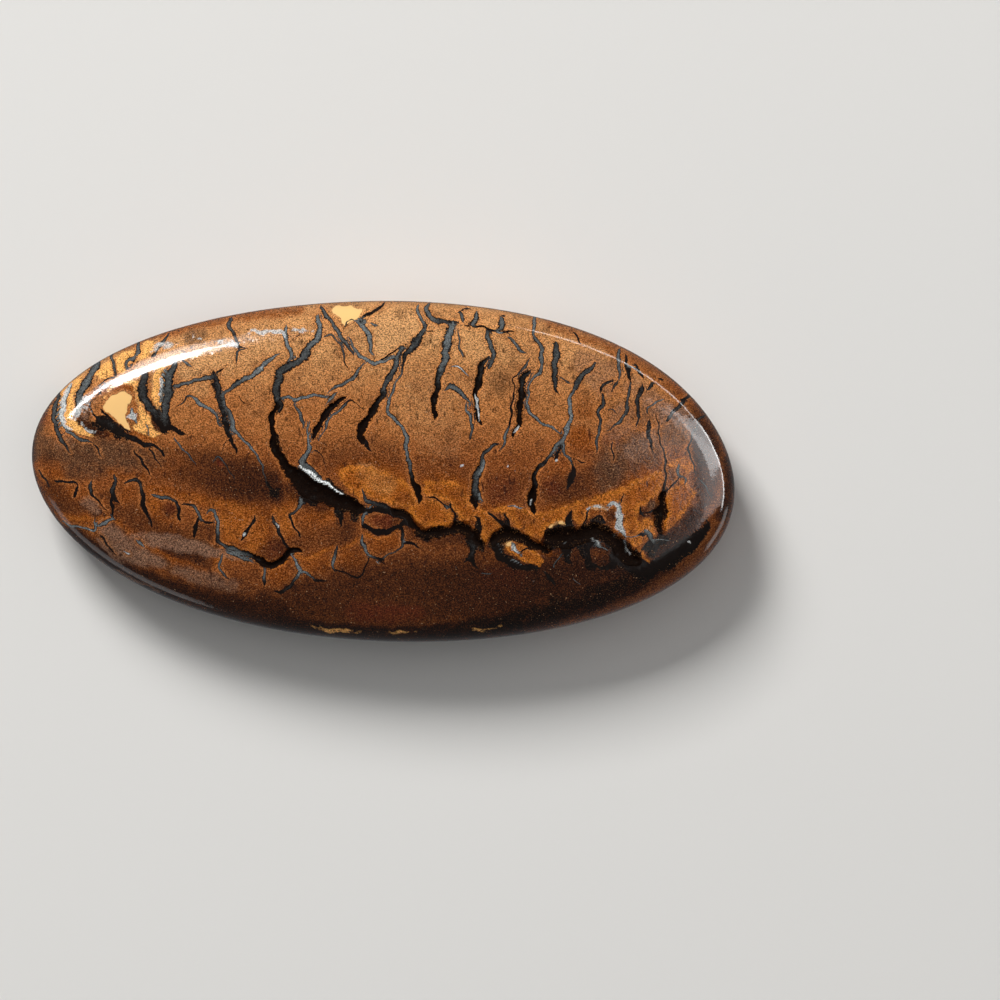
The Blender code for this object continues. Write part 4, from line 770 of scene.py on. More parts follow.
SAND_AND_HIGHLIGHT_PATCHES = [
    # Light bands round the left end.
    [(-17.35, 3.7), (-17.2, 4.25), (-16.6, 4.85), (-16.05, 5.15), (-16.15, 4.7), (-16.5, 4.0),
     (-16.62, 3.2), (-16.4, 2.7), (-16.1, 2.35), (-15.5, 2.0), (-15.3, 1.85), (-16.0, 1.95),
     (-16.6, 2.1), (-17.1, 2.35), (-17.38, 2.9)],
    [(-15.5, 5.15), (-15.25, 5.6), (-14.6, 5.95), (-14.48, 5.5), (-14.42, 5.1), (-14.8, 4.8),
     (-15.05, 4.95), (-15.2, 5.2)],
    [(-14.28, 6.05), (-13.9, 6.3), (-13.3, 6.65), (-13.25, 6.2), (-13.5, 5.8), (-13.7, 5.4),
     (-14.2, 5.2), (-14.25, 5.6)],
    [(-13.0, 6.75), (-12.5, 7.0), (-12.05, 6.95), (-12.3, 6.4), (-12.7, 6.0), (-13.1, 5.9),
     (-13.1, 6.3)],
    # Between the dark arms, and the rim right of the cream lens.
    [(-12.3, 4.5), (-12.2, 5.2), (-12.0, 5.6), (-11.6, 5.7), (-11.55, 5.0), (-11.65, 4.2),
     (-11.75, 3.4), (-11.9, 3.2), (-12.15, 3.6), (-12.32, 4.0)],
    [(-15.0, 3.9), (-14.65, 4.5), (-14.0, 4.78), (-13.2, 4.85), (-12.95, 4.7), (-12.95, 4.0),
     (-12.85, 3.5), (-12.5, 2.95), (-12.2, 2.4), (-11.8, 1.95), (-12.2, 1.85), (-12.7, 2.0),
     (-13.2, 2.1), (-13.3, 2.35), (-12.95, 2.7), (-13.05, 3.3), (-13.12, 4.0), (-13.15, 4.5),
     (-13.6, 4.65), (-14.2, 4.6), (-14.6, 4.35), (-14.9, 3.8)],
    # Painted highlights: thin light slivers low on the front rim, where the polish mirrors light.
    [(-3.9, -8.3), (-3.0, -8.38), (-2.0, -8.46), (-1.1, -8.54), (-2.0, -8.66), (-3.0, -8.58)],
    [(.1, -8.58), (1.0, -8.52), (1.8, -8.56), (1.0, -8.7)],
    [(4.3, -8.46), (5.4, -8.4), (6.4, -8.3), (5.4, -8.52)],
]
AMBER_PATCHES = [
    [(-2.2, .1), (-1.6, .3), (-.6, .2), (.2, -.05), (.9, -.4), (1.5, -.7), (1.75, -1.3), (1.85, -1.75),
     (1.4, -1.95), (.9, -1.85), (.3, -1.68), (-.5, -1.5), (-.9, -1.0), (-1.2, -1.6), (-1.7, -1.1),
     (-2.2, -.5)],
    [(2.3, -.6), (3.0, -.45), (4.0, -.7), (4.5, -1.2), (4.8, -1.75), (5.6, -2.05), (6.0, -2.5),
     (6.3, -2.9), (5.9, -3.2), (5.6, -3.85), (5.42, -3.85), (5.28, -3.2), (5.2, -2.7), (4.9, -2.55),
     (4.5, -2.75), (4.15, -2.55), (3.9, -2.2), (3.5, -1.7), (3.1, -1.45), (2.2, -1.25)],
    [(2.0, -1.45), (2.6, -1.45), (3.1, -1.65), (3.4, -2.05), (3.75, -2.3), (3.8, -2.75), (3.4, -2.9),
     (2.6, -2.95), (2.1, -2.95), (1.6, -2.4), (1.45, -2.05)],
    [(5.7, -2.0), (6.5, -1.9), (7.5, -1.85), (8.0, -2.3), (8.5, -2.2), (9.2, -2.0), (10.0, -1.85),
     (10.7, -1.5), (11.5, -1.3), (12.4, -1.05), (13.1, -.75), (13.6, -.4), (14.4, -.2), (14.95, .25),
     (15.0, -.4), (14.7, -1.2), (14.2, -1.65), (13.75, -1.85), (13.6, -2.4), (13.75, -2.9),
     (13.65, -3.3), (13.9, -3.85), (13.55, -4.0), (13.15, -3.6), (12.9, -3.2), (12.82, -2.5),
     (12.75, -1.9), (12.4, -1.6), (11.9, -1.8), (11.2, -1.75), (10.95, -2.1), (11.0, -2.4),
     (10.75, -2.75), (10.4, -2.9), (10.2, -2.5), (10.15, -2.1), (9.9, -2.3), (9.7, -2.7),
     (9.2, -2.75), (8.8, -2.9), (8.6, -3.4), (8.35, -3.8), (7.8, -3.4), (7.2, -3.0), (6.85, -2.5),
     (6.4, -2.3)],
    [(13.75, -3.05), (14.0, -2.5), (14.3, -2.4), (14.5, -2.9), (14.5, -3.5), (14.15, -3.15)],
    [(15.2, -1.05), (15.9, -.5), (16.45, -.7), (16.65, -1.1), (16.4, -1.8), (16.0, -2.3),
     (15.5, -2.9), (15.1, -3.2), (15.1, -2.4), (15.15, -1.6)],
    [(15.2, .35), (15.6, .75), (16.1, .85), (16.4, .4), (16.65, 0), (16.3, -.2), (16.0, .15),
     (15.6, .3)],
    [(6.55, -4.0), (6.75, -3.75), (7.15, -3.85), (7.6, -4.0), (8.0, -4.15), (8.4, -4.5),
     (8.6, -4.9), (8.4, -5.12), (8.0, -4.95), (7.3, -4.65), (6.75, -4.35)],
    [(13.6, -4.2), (13.9, -4.4), (14.15, -4.85), (14.0, -5.0), (13.7, -4.6)],
]
BLACK_PATCHES = [
    # The wedge under the centre, with teeth along its lower border.
    [(-5.6, 2.0), (-5.3, 1.0), (-5.0, .45), (-4.7, .15), (-4.35, .2), (-3.9, -.1), (-3.3, -.5),
     (-2.85, -.5), (-2.35, -.8), (-1.85, -1.2), (-1.3, -1.7), (-1.0, -1.85), (-.95, -2.15),
     (-1.2, -2.35), (-1.35, -2.8), (-1.6, -2.6), (-1.75, -2.2), (-2.1, -2.15), (-2.05, -2.7),
     (-2.2, -2.95), (-2.4, -2.75), (-2.55, -2.2), (-2.7, -1.65), (-2.9, -1.4), (-3.2, -1.65),
     (-3.4, -1.95), (-3.85, -1.9), (-4.1, -1.6), (-4.25, -1.1), (-4.5, -.7), (-4.9, -.35),
     (-5.3, .2), (-5.7, 1.2), (-5.85, 2.0)],
    # The band along the front.
    [(-.7, -1.9), (-.1, -1.78), (.5, -1.95), (1.1, -2.05), (1.4, -2.3), (1.75, -2.75), (2.1, -3.15),
     (2.5, -3.1), (3.0, -2.97), (3.6, -2.95), (3.85, -2.7), (3.7, -2.2), (3.62, -1.9), (3.9, -2.3),
     (4.1, -2.6), (4.5, -2.85), (5.0, -2.98), (4.95, -2.6), (5.1, -2.5), (5.22, -2.9),
     (5.27, -3.4), (5.45, -3.9), (5.3, -4.3), (4.95, -4.1), (4.9, -4.6), (4.7, -4.6), (4.55, -3.9),
     (4.3, -3.45), (3.6, -3.42), (3.0, -3.52), (2.5, -3.75), (2.1, -3.65), (1.7, -3.25),
     (1.35, -2.8), (1.0, -2.4), (.6, -2.2), (0, -2.1)],
    # The hook round the orange lens.
    [(5.7, -2.22), (6.1, -2.45), (6.45, -2.75), (6.6, -2.35), (6.8, -2.9), (7.2, -3.1),
     (7.6, -3.35), (8.1, -3.65), (8.55, -3.95), (8.9, -4.35), (8.75, -4.5), (8.4, -4.4),
     (8.0, -4.1), (7.3, -3.85), (6.9, -3.72), (6.65, -3.75), (6.48, -4.05), (6.6, -4.4),
     (7.0, -4.7), (7.6, -4.9), (8.2, -5.08), (8.35, -5.3), (7.7, -5.3), (7.1, -5.2), (6.5, -5.0),
     (6.05, -4.6), (5.9, -4.2), (5.65, -3.85), (5.85, -3.45), (6.15, -3.2), (6.3, -2.95),
     (6.0, -2.6)],
    # The hollow at the front right, and the dark edge beyond it.
    [(8.6, -3.9), (8.6, -3.3), (8.8, -3.05), (9.3, -2.95), (9.85, -3.05), (9.8, -2.7), (10.0, -2.2),
     (10.2, -2.25), (10.15, -2.75), (10.35, -3.05), (10.6, -2.95), (10.9, -2.5), (11.0, -2.85),
     (11.4, -2.4), (11.8, -2.75), (12.2, -2.85), (12.35, -3.3), (12.7, -3.55), (13.15, -3.85),
     (13.5, -4.2), (13.95, -4.75), (14.2, -5.05), (14.5, -5.6), (14.2, -6.0), (13.5, -5.6),
     (12.8, -5.2), (12.35, -4.75), (12.2, -4.3), (11.8, -3.9), (11.3, -3.45), (11.0, -3.6),
     (10.98, -4.2), (11.0, -4.8), (11.4, -5.25), (11.2, -5.4), (10.8, -5.0), (10.6, -4.4),
     (10.3, -3.95), (10.05, -4.3), (10.0, -5.0), (9.8, -5.0), (9.6, -4.4), (9.4, -4.0), (9.1, -4.3),
     (8.9, -4.4)],
    [(14.2, -5.0), (14.8, -4.85), (15.6, -4.3), (16.2, -3.75), (17.0, -3.2), (17.35, -2.5),
     (17.5, -3.0), (16.8, -4.0), (16.0, -4.8), (15.2, -5.3), (14.5, -5.6)],
    [(14.95, -1.0), (15.15, -1.0), (15.1, -1.6), (15.1, -2.3), (15.02, -2.9), (14.9, -3.4),
     (14.65, -3.4), (14.55, -2.9), (14.45, -2.4), (14.4, -2.0), (14.65, -1.7), (14.8, -1.4)],
    [(13.95, -4.2), (14.2, -3.75), (14.8, -3.5), (15.3, -3.35), (14.9, -3.9), (14.4, -4.5)],
    # Widened places along the seams.
    [(10.0, .15), (10.25, .1), (10.2, -.3), (10.05, -.8), (9.85, -.85), (9.9, -.3)],
    [(-15.15, 3.05), (-14.75, 2.9), (-14.25, 2.4), (-13.9, 2.15), (-13.4, 1.9), (-13.0, 1.6),
     (-13.6, 1.65), (-14.4, 1.95), (-15.1, 2.15), (-15.5, 2.6)],
    [(-6.5, -4.75), (-6.0, -4.85), (-5.5, -4.75), (-5.2, -4.3), (-4.9, -4.1), (-4.3, -4.2),
     (-4.9, -4.45), (-5.2, -4.85), (-5.6, -5.1), (-6.1, -5.12), (-6.5, -4.95)],
    [(-1.0, -2.85), (-.6, -3.08), (0, -3.15), (.6, -3.0), (1.1, -2.7), (1.2, -2.85), (.7, -3.2),
     (0, -3.38), (-.6, -3.3), (-1.1, -3.0)],
    [(-6.2, -.5), (-5.9, -.9), (-5.5, -1.0), (-5.55, -1.4), (-6.0, -1.3)],
]
RUST_STROKES = [
    [(-8.65, .4, .14, .9)], [(0, -2.6, .5, .7)], [(15.1, .25, .1, .9)], [(6.4, -1.0, .8, .5)],
    [(-5.7, -4.2, .5, .4)], [(-11.3, -1.9, .3, .5)], [(12.2, 1.8, .5, .5)], [(-18.0, 2.8, .4, .6)],
    [(-1.5, -7.5, .5, .5), (0, -7.6, .5, .6), (1.8, -7.6, .4, .5)], [(9.0, -.8, .5, .5)],
    [(4.75, 3.35, .15, .8)], [(7.55, -1.85, .12, .8)], [(2.5, 4.5, .6, .3), (3.6, 1.6, .9, .3)],
    [(5.7, -5.6, .6, .3), (7.2, -5.7, .6, .3)], [(-14.9, -3.15, .2, .5)],
]


SPOT_LENGTH = 0.01


def smooth_path(points, step):
    """Catmull-Rom curve through the points: each stretch is a cubic whose slope at a point is
    half of the way from the point before it to the point after it. A lone point is a spot."""
    knots = np.array(points, dtype=float)
    if len(knots) == 1:
        knots = np.vstack([knots, knots + [SPOT_LENGTH, 0, 0, 0]])
    slopes = np.gradient(knots, axis=0)
    pieces = []
    for start, end, slope0, slope1 in zip(knots[:-1], knots[1:], slopes[:-1], slopes[1:]):
        count = max(2, int(math.ceil(np.hypot(*(end - start)[:2]) / step)))
        t = (np.arange(count) / count)[:, None]
        pieces.append(start * (2 * t ** 3 - 3 * t ** 2 + 1) + slope0 * (t ** 3 - 2 * t ** 2 + t)
                      + end * (3 * t ** 2 - 2 * t ** 3) + slope1 * (t ** 3 - t ** 2))
    return np.vstack(pieces + [knots[-1:]])


def near_stroke(x, y, path, widths, margin):
    """For the points within some widths and a margin of a path: distance to it, which side they
    lie on, and the path's own third and fourth values at the nearest place, found on each
    straight piece as the foot of the perpendicular."""
    widest = path[:, 2].max() * widths + margin
    low, high = path[:, :2].min(axis=0) - widest, path[:, :2].max(axis=0) + widest
    near = np.flatnonzero((x > low[0]) & (x < high[0]) & (y > low[1]) & (y < high[1]))
    start, along = path[:-1], np.diff(path, axis=0)
    away_x = x[near, None] - start[:, 0]
    away_y = y[near, None] - start[:, 1]
    square = along[:, 0] ** 2 + along[:, 1] ** 2 + 1e-12
    foot = np.clip((away_x * along[:, 0] + away_y * along[:, 1]) / square, 0.0, 1.0)
    distance = np.hypot(away_x - foot * along[:, 0], away_y - foot * along[:, 1])
    third = start[:, 2] + foot * along[:, 2]
    best = np.argmin(distance - third, axis=1)
    pick = (np.arange(len(near)), best)
    side = np.sign(along[best, 0] * away_y[pick] - along[best, 1] * away_x[pick])
    fourth = start[best, 3] + foot[pick] * along[best, 3]
    return near, distance[pick], side, third[pick], fourth


def patch_field(x, y, outlines):
    """How far a point lies inside an outline in millimetres, or as a negative number how far
    outside, down to -1: the distance to the nearest side, and a point is inside where a line
    from it to the right crosses an odd number of sides. The largest of all outlines counts."""
    field = np.full(len(x), -1.0)
    for corners in outlines:
        start = np.array(corners, dtype=float)
        low, high = start.min(axis=0) - 1.0, start.max(axis=0) + 1.0
        near = np.flatnonzero((x > low[0]) & (x < high[0]) & (y > low[1]) & (y < high[1]))
        along = np.roll(start, -1, axis=0) - start
        away_x = x[near, None] - start[:, 0]
        away_y = y[near, None] - start[:, 1]
        foot = (away_x * along[:, 0] + away_y * along[:, 1]) / (along ** 2).sum(axis=1)
        foot = np.clip(foot, 0.0, 1.0)
        distance = np.hypot(away_x - foot * along[:, 0], away_y - foot * along[:, 1]).min(axis=1)
        rise = np.where(along[:, 1] == 0, 1e-9, along[:, 1])
        crosses = ((away_y < 0) != (away_y < along[:, 1])) & (away_x < away_y * along[:, 0] / rise)
        inside = crosses.sum(axis=1) % 2 == 1
        field[near] = np.maximum(field[near], np.where(inside, distance, -distance))
    return field


def wander(x, y):
    """The drawn lines wander sideways by up to 0.08 mm: two crossing waves of 0.7 to 1.5 mm."""
    return (x + 0.045 * np.sin(4.1 * y + 1.7 * x + 0.5) + 0.03 * np.sin(8.9 * y - 3.3 * x),
            y + 0.045 * np.sin(3.7 * x - 2.1 * y + 1.1) + 0.03 * np.sin(9.3 * x + 2.9 * y + 2.0))


SEAM_STEP = 0.12
SEAM_MARGIN = 0.9
FAR_GAP = 1.0
FAR_ACROSS = 6.0
LEAST_HALF_WIDTH = 0.015
GROOVE_SHARE = 0.85
GROOVE_FULLNESS = 0.6
WORN_WIDTH = 0.1


def seam_field(x, y, seams):
    """Signed distance across the nearest seam in half widths, gap to its edge in millimetres,
    its tone, depth of the groove, and how far the polish is lost beside an open one: the
    nearest seam is the one with the smallest gap."""
    across, gap = np.full(len(x), FAR_ACROSS), np.full(len(x), FAR_GAP)
    tone, depth, dull = np.zeros((3, len(x)))
    for groove, share, points in seams:
        path = smooth_path(points, SEAM_STEP)
        near, distance, side, groove_half, shade = near_stroke(x, y, path, 1.0, SEAM_MARGIN)
        half = np.maximum(groove_half * share, LEAST_HALF_WIDTH)
        wins = distance - half < gap[near]
        chosen = near[wins]
        gap[chosen] = (distance - half)[wins]
        across[chosen] = np.clip((side * distance / half)[wins], -FAR_ACROSS, FAR_ACROSS)
        tone[chosen] = shade[wins]
        if groove > 0:
            bowl = np.clip(1 - (distance / (GROOVE_SHARE * groove_half)) ** 2, 0.0, 1.0)
            depth[near] = np.maximum(depth[near], groove * bowl ** GROOVE_FULLNESS)
            worn = np.clip(1.5 - (distance - groove_half) / WORN_WIDTH, 0.0, 1.0)
            dull[near] = np.maximum(dull[near], worn)
    return across, gap, tone, depth, dull


STROKE_STEP = 0.3
STROKE_MARGIN = 0.1


def colour_field(x, y, strokes):
    """Strength of a colour: each stroke's own strength inside its radius, eased to nothing over
    the radius again, and the strongest stroke counts."""
    field = np.zeros(len(x))
    for points in strokes:
        path = smooth_path(points, STROKE_STEP)
        near, distance, _, radius, strength = near_stroke(x, y, path, 2.2, STROKE_MARGIN)
        fade = np.clip((2.0 - distance / radius) / 1.5, 0.0, 1.0)
        fade = fade * fade * (3 - 2 * fade)
        field[near] = np.maximum(field[near], strength * fade)
    return field


# The pattern as seen from above serves the face and the shoulder. Below the girth the seams run
# on down the flank, slanting a little, and on the base the stone shows a plainer cut of them.
all_seams = [(depth, 1.0, points) for depth, points in OPEN_SEAMS]
all_seams += [(depth, HOLLOW_SHARE, points) for depth, points in FRONT_HOLLOWS]
all_seams += [(0.0, 1.0, points) for points in (
    SEAMS_LEFT_END + SEAMS_LEFT_CENTRE + SEAMS_CENTRE + SEAMS_RIGHT_CENTRE + SEAMS_RIGHT_END)]
pattern_x, pattern_y = stone_points[:, 0] / MM, stone_points[:, 1] / MM
FLANK_SLANT = 0.9
FLANK_WAVE = 0.35
FLANK_INSET = 0.12
flank_part = np.arange(top_count, flank_count)
flank_depth = np.repeat(flank_turns, len(flank_angle))
flank_around = np.tile(flank_angle, FLANK_STEPS)
slant = (FLANK_SLANT * flank_depth + FLANK_WAVE * np.sin(9 * flank_around + 4 * flank_depth)
         * flank_depth) / (LENGTH / MM / 4)
edge_x, edge_y = girth(flank_around + slant)
edge_nx, edge_ny = outward(flank_around + slant)
pattern_x[flank_part] = edge_x / MM - FLANK_INSET * edge_nx
pattern_y[flank_part] = edge_y / MM - FLANK_INSET * edge_ny
BASE_SHARE = 0.92
BASE_SHIFT = (2.0, 0.6)
pattern_x[flank_count:] = -BASE_SHARE * pattern_x[flank_count:] + BASE_SHIFT[0]
pattern_y[flank_count:] = BASE_SHARE * pattern_y[flank_count:] + BASE_SHIFT[1]

pattern_x, pattern_y = wander(pattern_x, pattern_y)
seam_across, seam_gap, seam_tone, groove_depth, seam_dull = seam_field(
    pattern_x, pattern_y, all_seams)
stone_points[:top_count, 2] -= groove_depth[:top_count] * MM

stone_mesh = bpy.data.meshes.new("boulder_opal")
stone_mesh.from_pydata(stone_points.tolist(), [], np.vstack(stone_quads).tolist()
                       + np.vstack(stone_thirds).tolist())
stone_mesh.validate()
stone_mesh.shade_smooth()
fields = {"seam_across": seam_across, "seam_gap": seam_gap, "seam_tone": seam_tone,
          "groove": seam_dull}
for name, strokes in (("pale", PALE_STROKES), ("orange", ORANGE_STROKES), ("dark", DARK_AND_SHADE_STROKES),
                      ("ash_and_sheen", ASH_AND_SHEEN_STROKES), ("rust", RUST_STROKES), ("painted_reflection", PAINTED_REFLECTION_STROKES),
                      ("opal_film_and_highlight", OPAL_FILM_AND_HIGHLIGHT_STROKES)):
    fields[name] = colour_field(pattern_x, pattern_y, strokes)
for name, outlines in (("cream", CREAM_PATCHES), ("sand_and_highlight", SAND_AND_HIGHLIGHT_PATCHES),
                       ("amber", AMBER_PATCHES), ("black", BLACK_PATCHES)):
    fields[name] = patch_field(pattern_x, pattern_y, outlines)
for name, values in fields.items():
    layer = stone_mesh.attributes.new(name, "FLOAT", "POINT")
    layer.data.foreach_set("value", values.astype(np.float32))
stone = bpy.data.objects.new("boulder_opal_polished", stone_mesh)
bpy.context.collection.objects.link(stone)


def linear(colour):
    """Linear red, green, blue and alpha of an sRGB hex colour such as "8B4A1C"."""
    parts = [int(colour[i:i + 2], 16) / 255 for i in (0, 2, 4)]
    return [p / 12.92 if p <= 0.04045 else ((p + 0.055) / 1.055) ** 2.4 for p in parts] + [1.0]


def add(tree, kind, settings=None, **inputs):
    """Add a node, set its properties, and fill its inputs: a socket is linked, a value is set.
    An input is named by its label with underscores, or in_0, in_1 for its number."""
    node = tree.nodes.new(kind)
    for key, value in (settings or {}).items():
        setattr(node, key, value)
    for key, value in inputs.items():
        socket = node.inputs[int(key[3:]) if key.startswith("in_") else key.replace("_", " ")]
        if isinstance(value, bpy.types.NodeSocket):
            tree.links.new(value, socket)
        else:
            socket.default_value = value
    return node


def polished_boulder_opal():
    """Ironstone polished to a gloss: limonite and goethite browns with a fine sandy grain, and
    seams of common opal, which takes the same polish and shows grey to black."""
    material = bpy.data.materials.new("polished_boulder_opal")
    material.use_nodes = True
    tree = material.node_tree
    tree.nodes.clear()

    # One pattern unit is a millimetre, so a noise's scale is its number of cells in one: grains
    # of 0.07 mm, the size of fine sand, specks and nibbled borders of 0.1 mm, dark flecks
    # 0.25 mm wide and three times as long, and clouds of 0.3, 0.7 and 2 mm.
    place = add(tree, "ShaderNodeTexCoord").outputs["Object"]
    place = add(tree, "ShaderNodeMapping", Vector=place, Scale=(1 / MM,) * 3).outputs[0]
    slanting = add(tree, "ShaderNodeMapping", Vector=place, Scale=(1.0, 0.35, 1.0),
                   Rotation=(0, 0, 0.35)).outputs[0]
    grain, glint, nibble, fleck, wobble, mottle, cloud = [
        add(tree, "ShaderNodeTexNoise", Vector=where, Scale=scale, Detail=detail,
            Roughness=rough).outputs["Fac"]
        for where, scale, detail, rough in (
            (place, 15.0, 1.0, 0.5), (place, 11.0, 0.0, 0.5), (place, 9.0, 1.0, 0.5),
            (slanting, 4.0, 1.0, 0.5), (place, 3.2, 3.0, 0.6), (place, 1.5, 3.0, 0.6),
            (place, 0.45, 3.0, 0.55))]
    ripple, wobble, nibble = [
        add(tree, "ShaderNodeMath", {"operation": "SUBTRACT"}, in_0=noise, in_1=0.5).outputs[0]
        for noise in (mottle, wobble, nibble)]

    def ragged(source, *shares):
        """A field of the mesh by its name, or another value, plus shares of three noises about
        zero: ripple, wobble and nibble, from coarse to fine."""
        value = source
        if isinstance(source, str):
            value = add(tree, "ShaderNodeAttribute", {"attribute_name": source}).outputs["Fac"]
        for noise, share in zip((ripple, wobble, nibble), shares):
            if share:
                value = add(tree, "ShaderNodeMath", {"operation": "MULTIPLY_ADD"}, in_0=noise,
                            in_1=share, in_2=value).outputs[0]
        return value

    def cover(source, low, high, least=0.0, most=1.0, shares=()):
        """How much of a coat shows: a field or a value, made ragged by shares of the noises,
        and eased from least at low to most at high."""
        return add(tree, "ShaderNodeMapRange", {"interpolation_type": "SMOOTHSTEP"},
                   Value=ragged(source, *shares), From_Min=low, From_Max=high, To_Min=least,
                   To_Max=most).outputs[0]

    def stroke_cover(name, low, high, noisy, most=1.0):
        """Cover of a field of soft strokes: nothing at low and most at high, noisy is how far
        the noises shake it."""
        return cover(name, low, high, 0.0, most, (0.0, noisy, noisy * 0.5))

    def patch_cover(name, soft, stray):
        """Cover of a patch: soft is half the blur of its border in millimetres, and stray how
        far the border wanders."""
        return cover(name, -soft, soft, shares=(stray * 1.2, stray, stray * 0.4))

    def coats(colour, *layers):
        """Coats over a colour, one after the other: each has its cover and its own colour."""
        for share, over in layers:
            colour = add(tree, "ShaderNodeMix", {"data_type": "RGBA"}, in_0=share, in_6=colour,
                         in_7=over).outputs[2]
        return colour

    def speckle(colour, least, most):
        """Brightness of a colour times a number that follows the grain from least to most."""
        strength = add(tree, "ShaderNodeMapRange", Value=grain, From_Min=0.34, From_Max=0.66,
                       To_Min=least, To_Max=most).outputs[0]
        return add(tree, "ShaderNodeVectorMath", {"operation": "SCALE"}, in_0=colour,
                   Scale=strength).outputs[0]

    # Brown body: lighter towards the back edge, darkest across the middle, and cloudy.
    back = add(tree, "ShaderNodeSeparateXYZ", Vector=place).outputs["Y"]
    back = ragged(back, 0.0, 1.5)
    body = coats(linear("7A4018"), (cover(back, 0.2, 3.0), linear("A26534")),
                 (cover(back, 2.8, 7.0), linear("C08A56")),
                 (cover(cloud, 0.38, 0.62, most=0.35), linear("8A4C20")))

    # Clouds of colour, one over the other: where a field starts and is full, how far it is shaken,
    # its cover at most, and its colour. The ash coat is mostly painted sheen, the haze coat is
    # painted reflection, and the dark coats also paint shade on the left and front rims. Then the
    # dark side of the mottling.
    for name, low, high, noisy, most, shade in (
            ("orange", 0.05, 0.85, 0.6, 1.0, "80400E"), ("orange", 0.75, 1.15, 0.5, 1.0, "A0581A"),
            ("pale", 0.1, 0.9, 0.4, 1.0, "C08E5C"), ("pale", 0.9, 1.25, 0.3, 1.0, "E0A868"),
            ("ash_and_sheen", 0.1, 0.9, 0.5, 0.85, "4A3424"), ("dark", 0.0, 1.0, 0.5, 0.94, "260D04"),
            ("rust", 0.1, 0.9, 0.5, 0.8, "5E2410"), ("painted_reflection", 0.1, 0.9, 0.4, 0.85, "7E5C48"),
            ("dark", 0.9, 1.3, 0.3, 1.0, "120703")):
        body = coats(body, (stroke_cover(name, low, high, noisy, most), linear(shade)))
    body = coats(body, (cover(mottle, 0.5, 0.3, most=0.45), linear("4A240F")))

    # Patches: bright orange, lighter along its border, light sand with painted highlight slivers
    # on the front rim, and black opal.
    amber = coats(linear("B4681E"), (cover("amber", 0.02, 0.4), linear("924C10")),
                  (stroke_cover("pale", 0.2, 0.9, 0.4), linear("B87A3C")),
                  (cover(mottle, 0.55, 0.35, most=0.55), linear("6A3410")))
    body = coats(body, (patch_cover("amber", 0.07, 0.3), amber),
                 (patch_cover("sand_and_highlight", 0.05, 0.2), linear("E4A65C")),
                 (patch_cover("black", 0.04, 0.42), linear("0E0604")))

    # Halo: the ironstone is bleached to a lighter orange for 0.2 mm beside a seam, but not
    # where it is dark or black.
    bleach = cover("dark", 0.1, 0.6, cover("black", -0.15, 0.0, 0.4, 0.0), 0.0)
    halo = cover("seam_gap", 0.0, 0.2, bleach, 0.0, (0.0, 0.0, 0.08))
    body = coats(body, (halo, linear("B87038")))

    # Sandy grain, light grains, fewer of them where it is dark, dark dashes and light specks.
    light_grain = cover(grain, 0.56, 0.70, most=cover("dark", 0.2, 0.9, 0.20, 0.05))
    body = coats(speckle(body, 0.32, 1.68), (light_grain, linear("DC9C60")),
                 (cover(fleck, 0.68, 0.74, most=0.7), linear("2C140A")),
                 (cover(glint, 0.78, 0.84, most=0.45), linear("D8AC80")),
                 (patch_cover("cream", 0.025, 0.16), linear("EFC07C")))

    # Seams: black at the border, grey-blue in the core, mottled along their length, and white at
    # tones of 1.5 and more, which paint glints of light.
    across = add(tree, "ShaderNodeMath", {"operation": "ABSOLUTE"}, in_0=ragged("seam_across"))
    across = ragged(across.outputs[0], 0.0, 0.95, 0.95)
    seam = cover(across, 0.82, 1.02, cover("seam_gap", 0.03, 0.08, 1.0, 0.0), 0.0)
    tone = add(tree, "ShaderNodeMath", {"operation": "MULTIPLY"},
               in_0=ragged("seam_tone", 0.0, 0.7),
               in_1=cover(across, 0.35, 0.80, 1.0, 0.12)).outputs[0]
    opal = coats(linear("120905"), (cover(tone, 0.0, 1.0), linear("646868")),
                 (cover(tone, 1.05, 1.5), linear("E4E6E4")))

    # Thin films of grey-white opal, and painted highlights, glints and reflections of the lights on
    # the polish, all broken up by the grain under them.
    opal_film_and_highlight = coats(linear("8A8E90"), (cover(grain, 0.38, 0.62), linear("DCDCD8")))
    colour = coats(body, (seam, speckle(opal, 0.5, 1.5)),
                   (stroke_cover("opal_film_and_highlight", 0.45, 0.9, 1.5, 0.85), opal_film_and_highlight))

    # An open seam is rough inside, so it shows no gloss.
    roughness = add(tree, "ShaderNodeMath", {"operation": "MULTIPLY_ADD"}, in_0=ragged("groove"),
                    in_1=0.5, in_2=cover(grain, 0.3, 0.7, 0.06, 0.13)).outputs[0]
    gloss = cover("groove", 0.0, 0.7, 0.38, 0.01)
    bump = add(tree, "ShaderNodeBump", Height=mottle, Strength=1.0, Distance=0.012 * MM)
    bump = add(tree, "ShaderNodeBump", Height=grain, Strength=1.0, Distance=0.002 * MM,
               Normal=bump.outputs[0])
    shader = add(tree, "ShaderNodeBsdfPrincipled", Base_Color=colour, Roughness=roughness,
                 IOR=1.55, Specular_IOR_Level=gloss, Normal=bump.outputs[0])
    add(tree, "ShaderNodeOutputMaterial", Surface=shader.outputs[0])
    return material


stone_mesh.materials.append(polished_boulder_opal())
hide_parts(STONE)
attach(stone, "root")

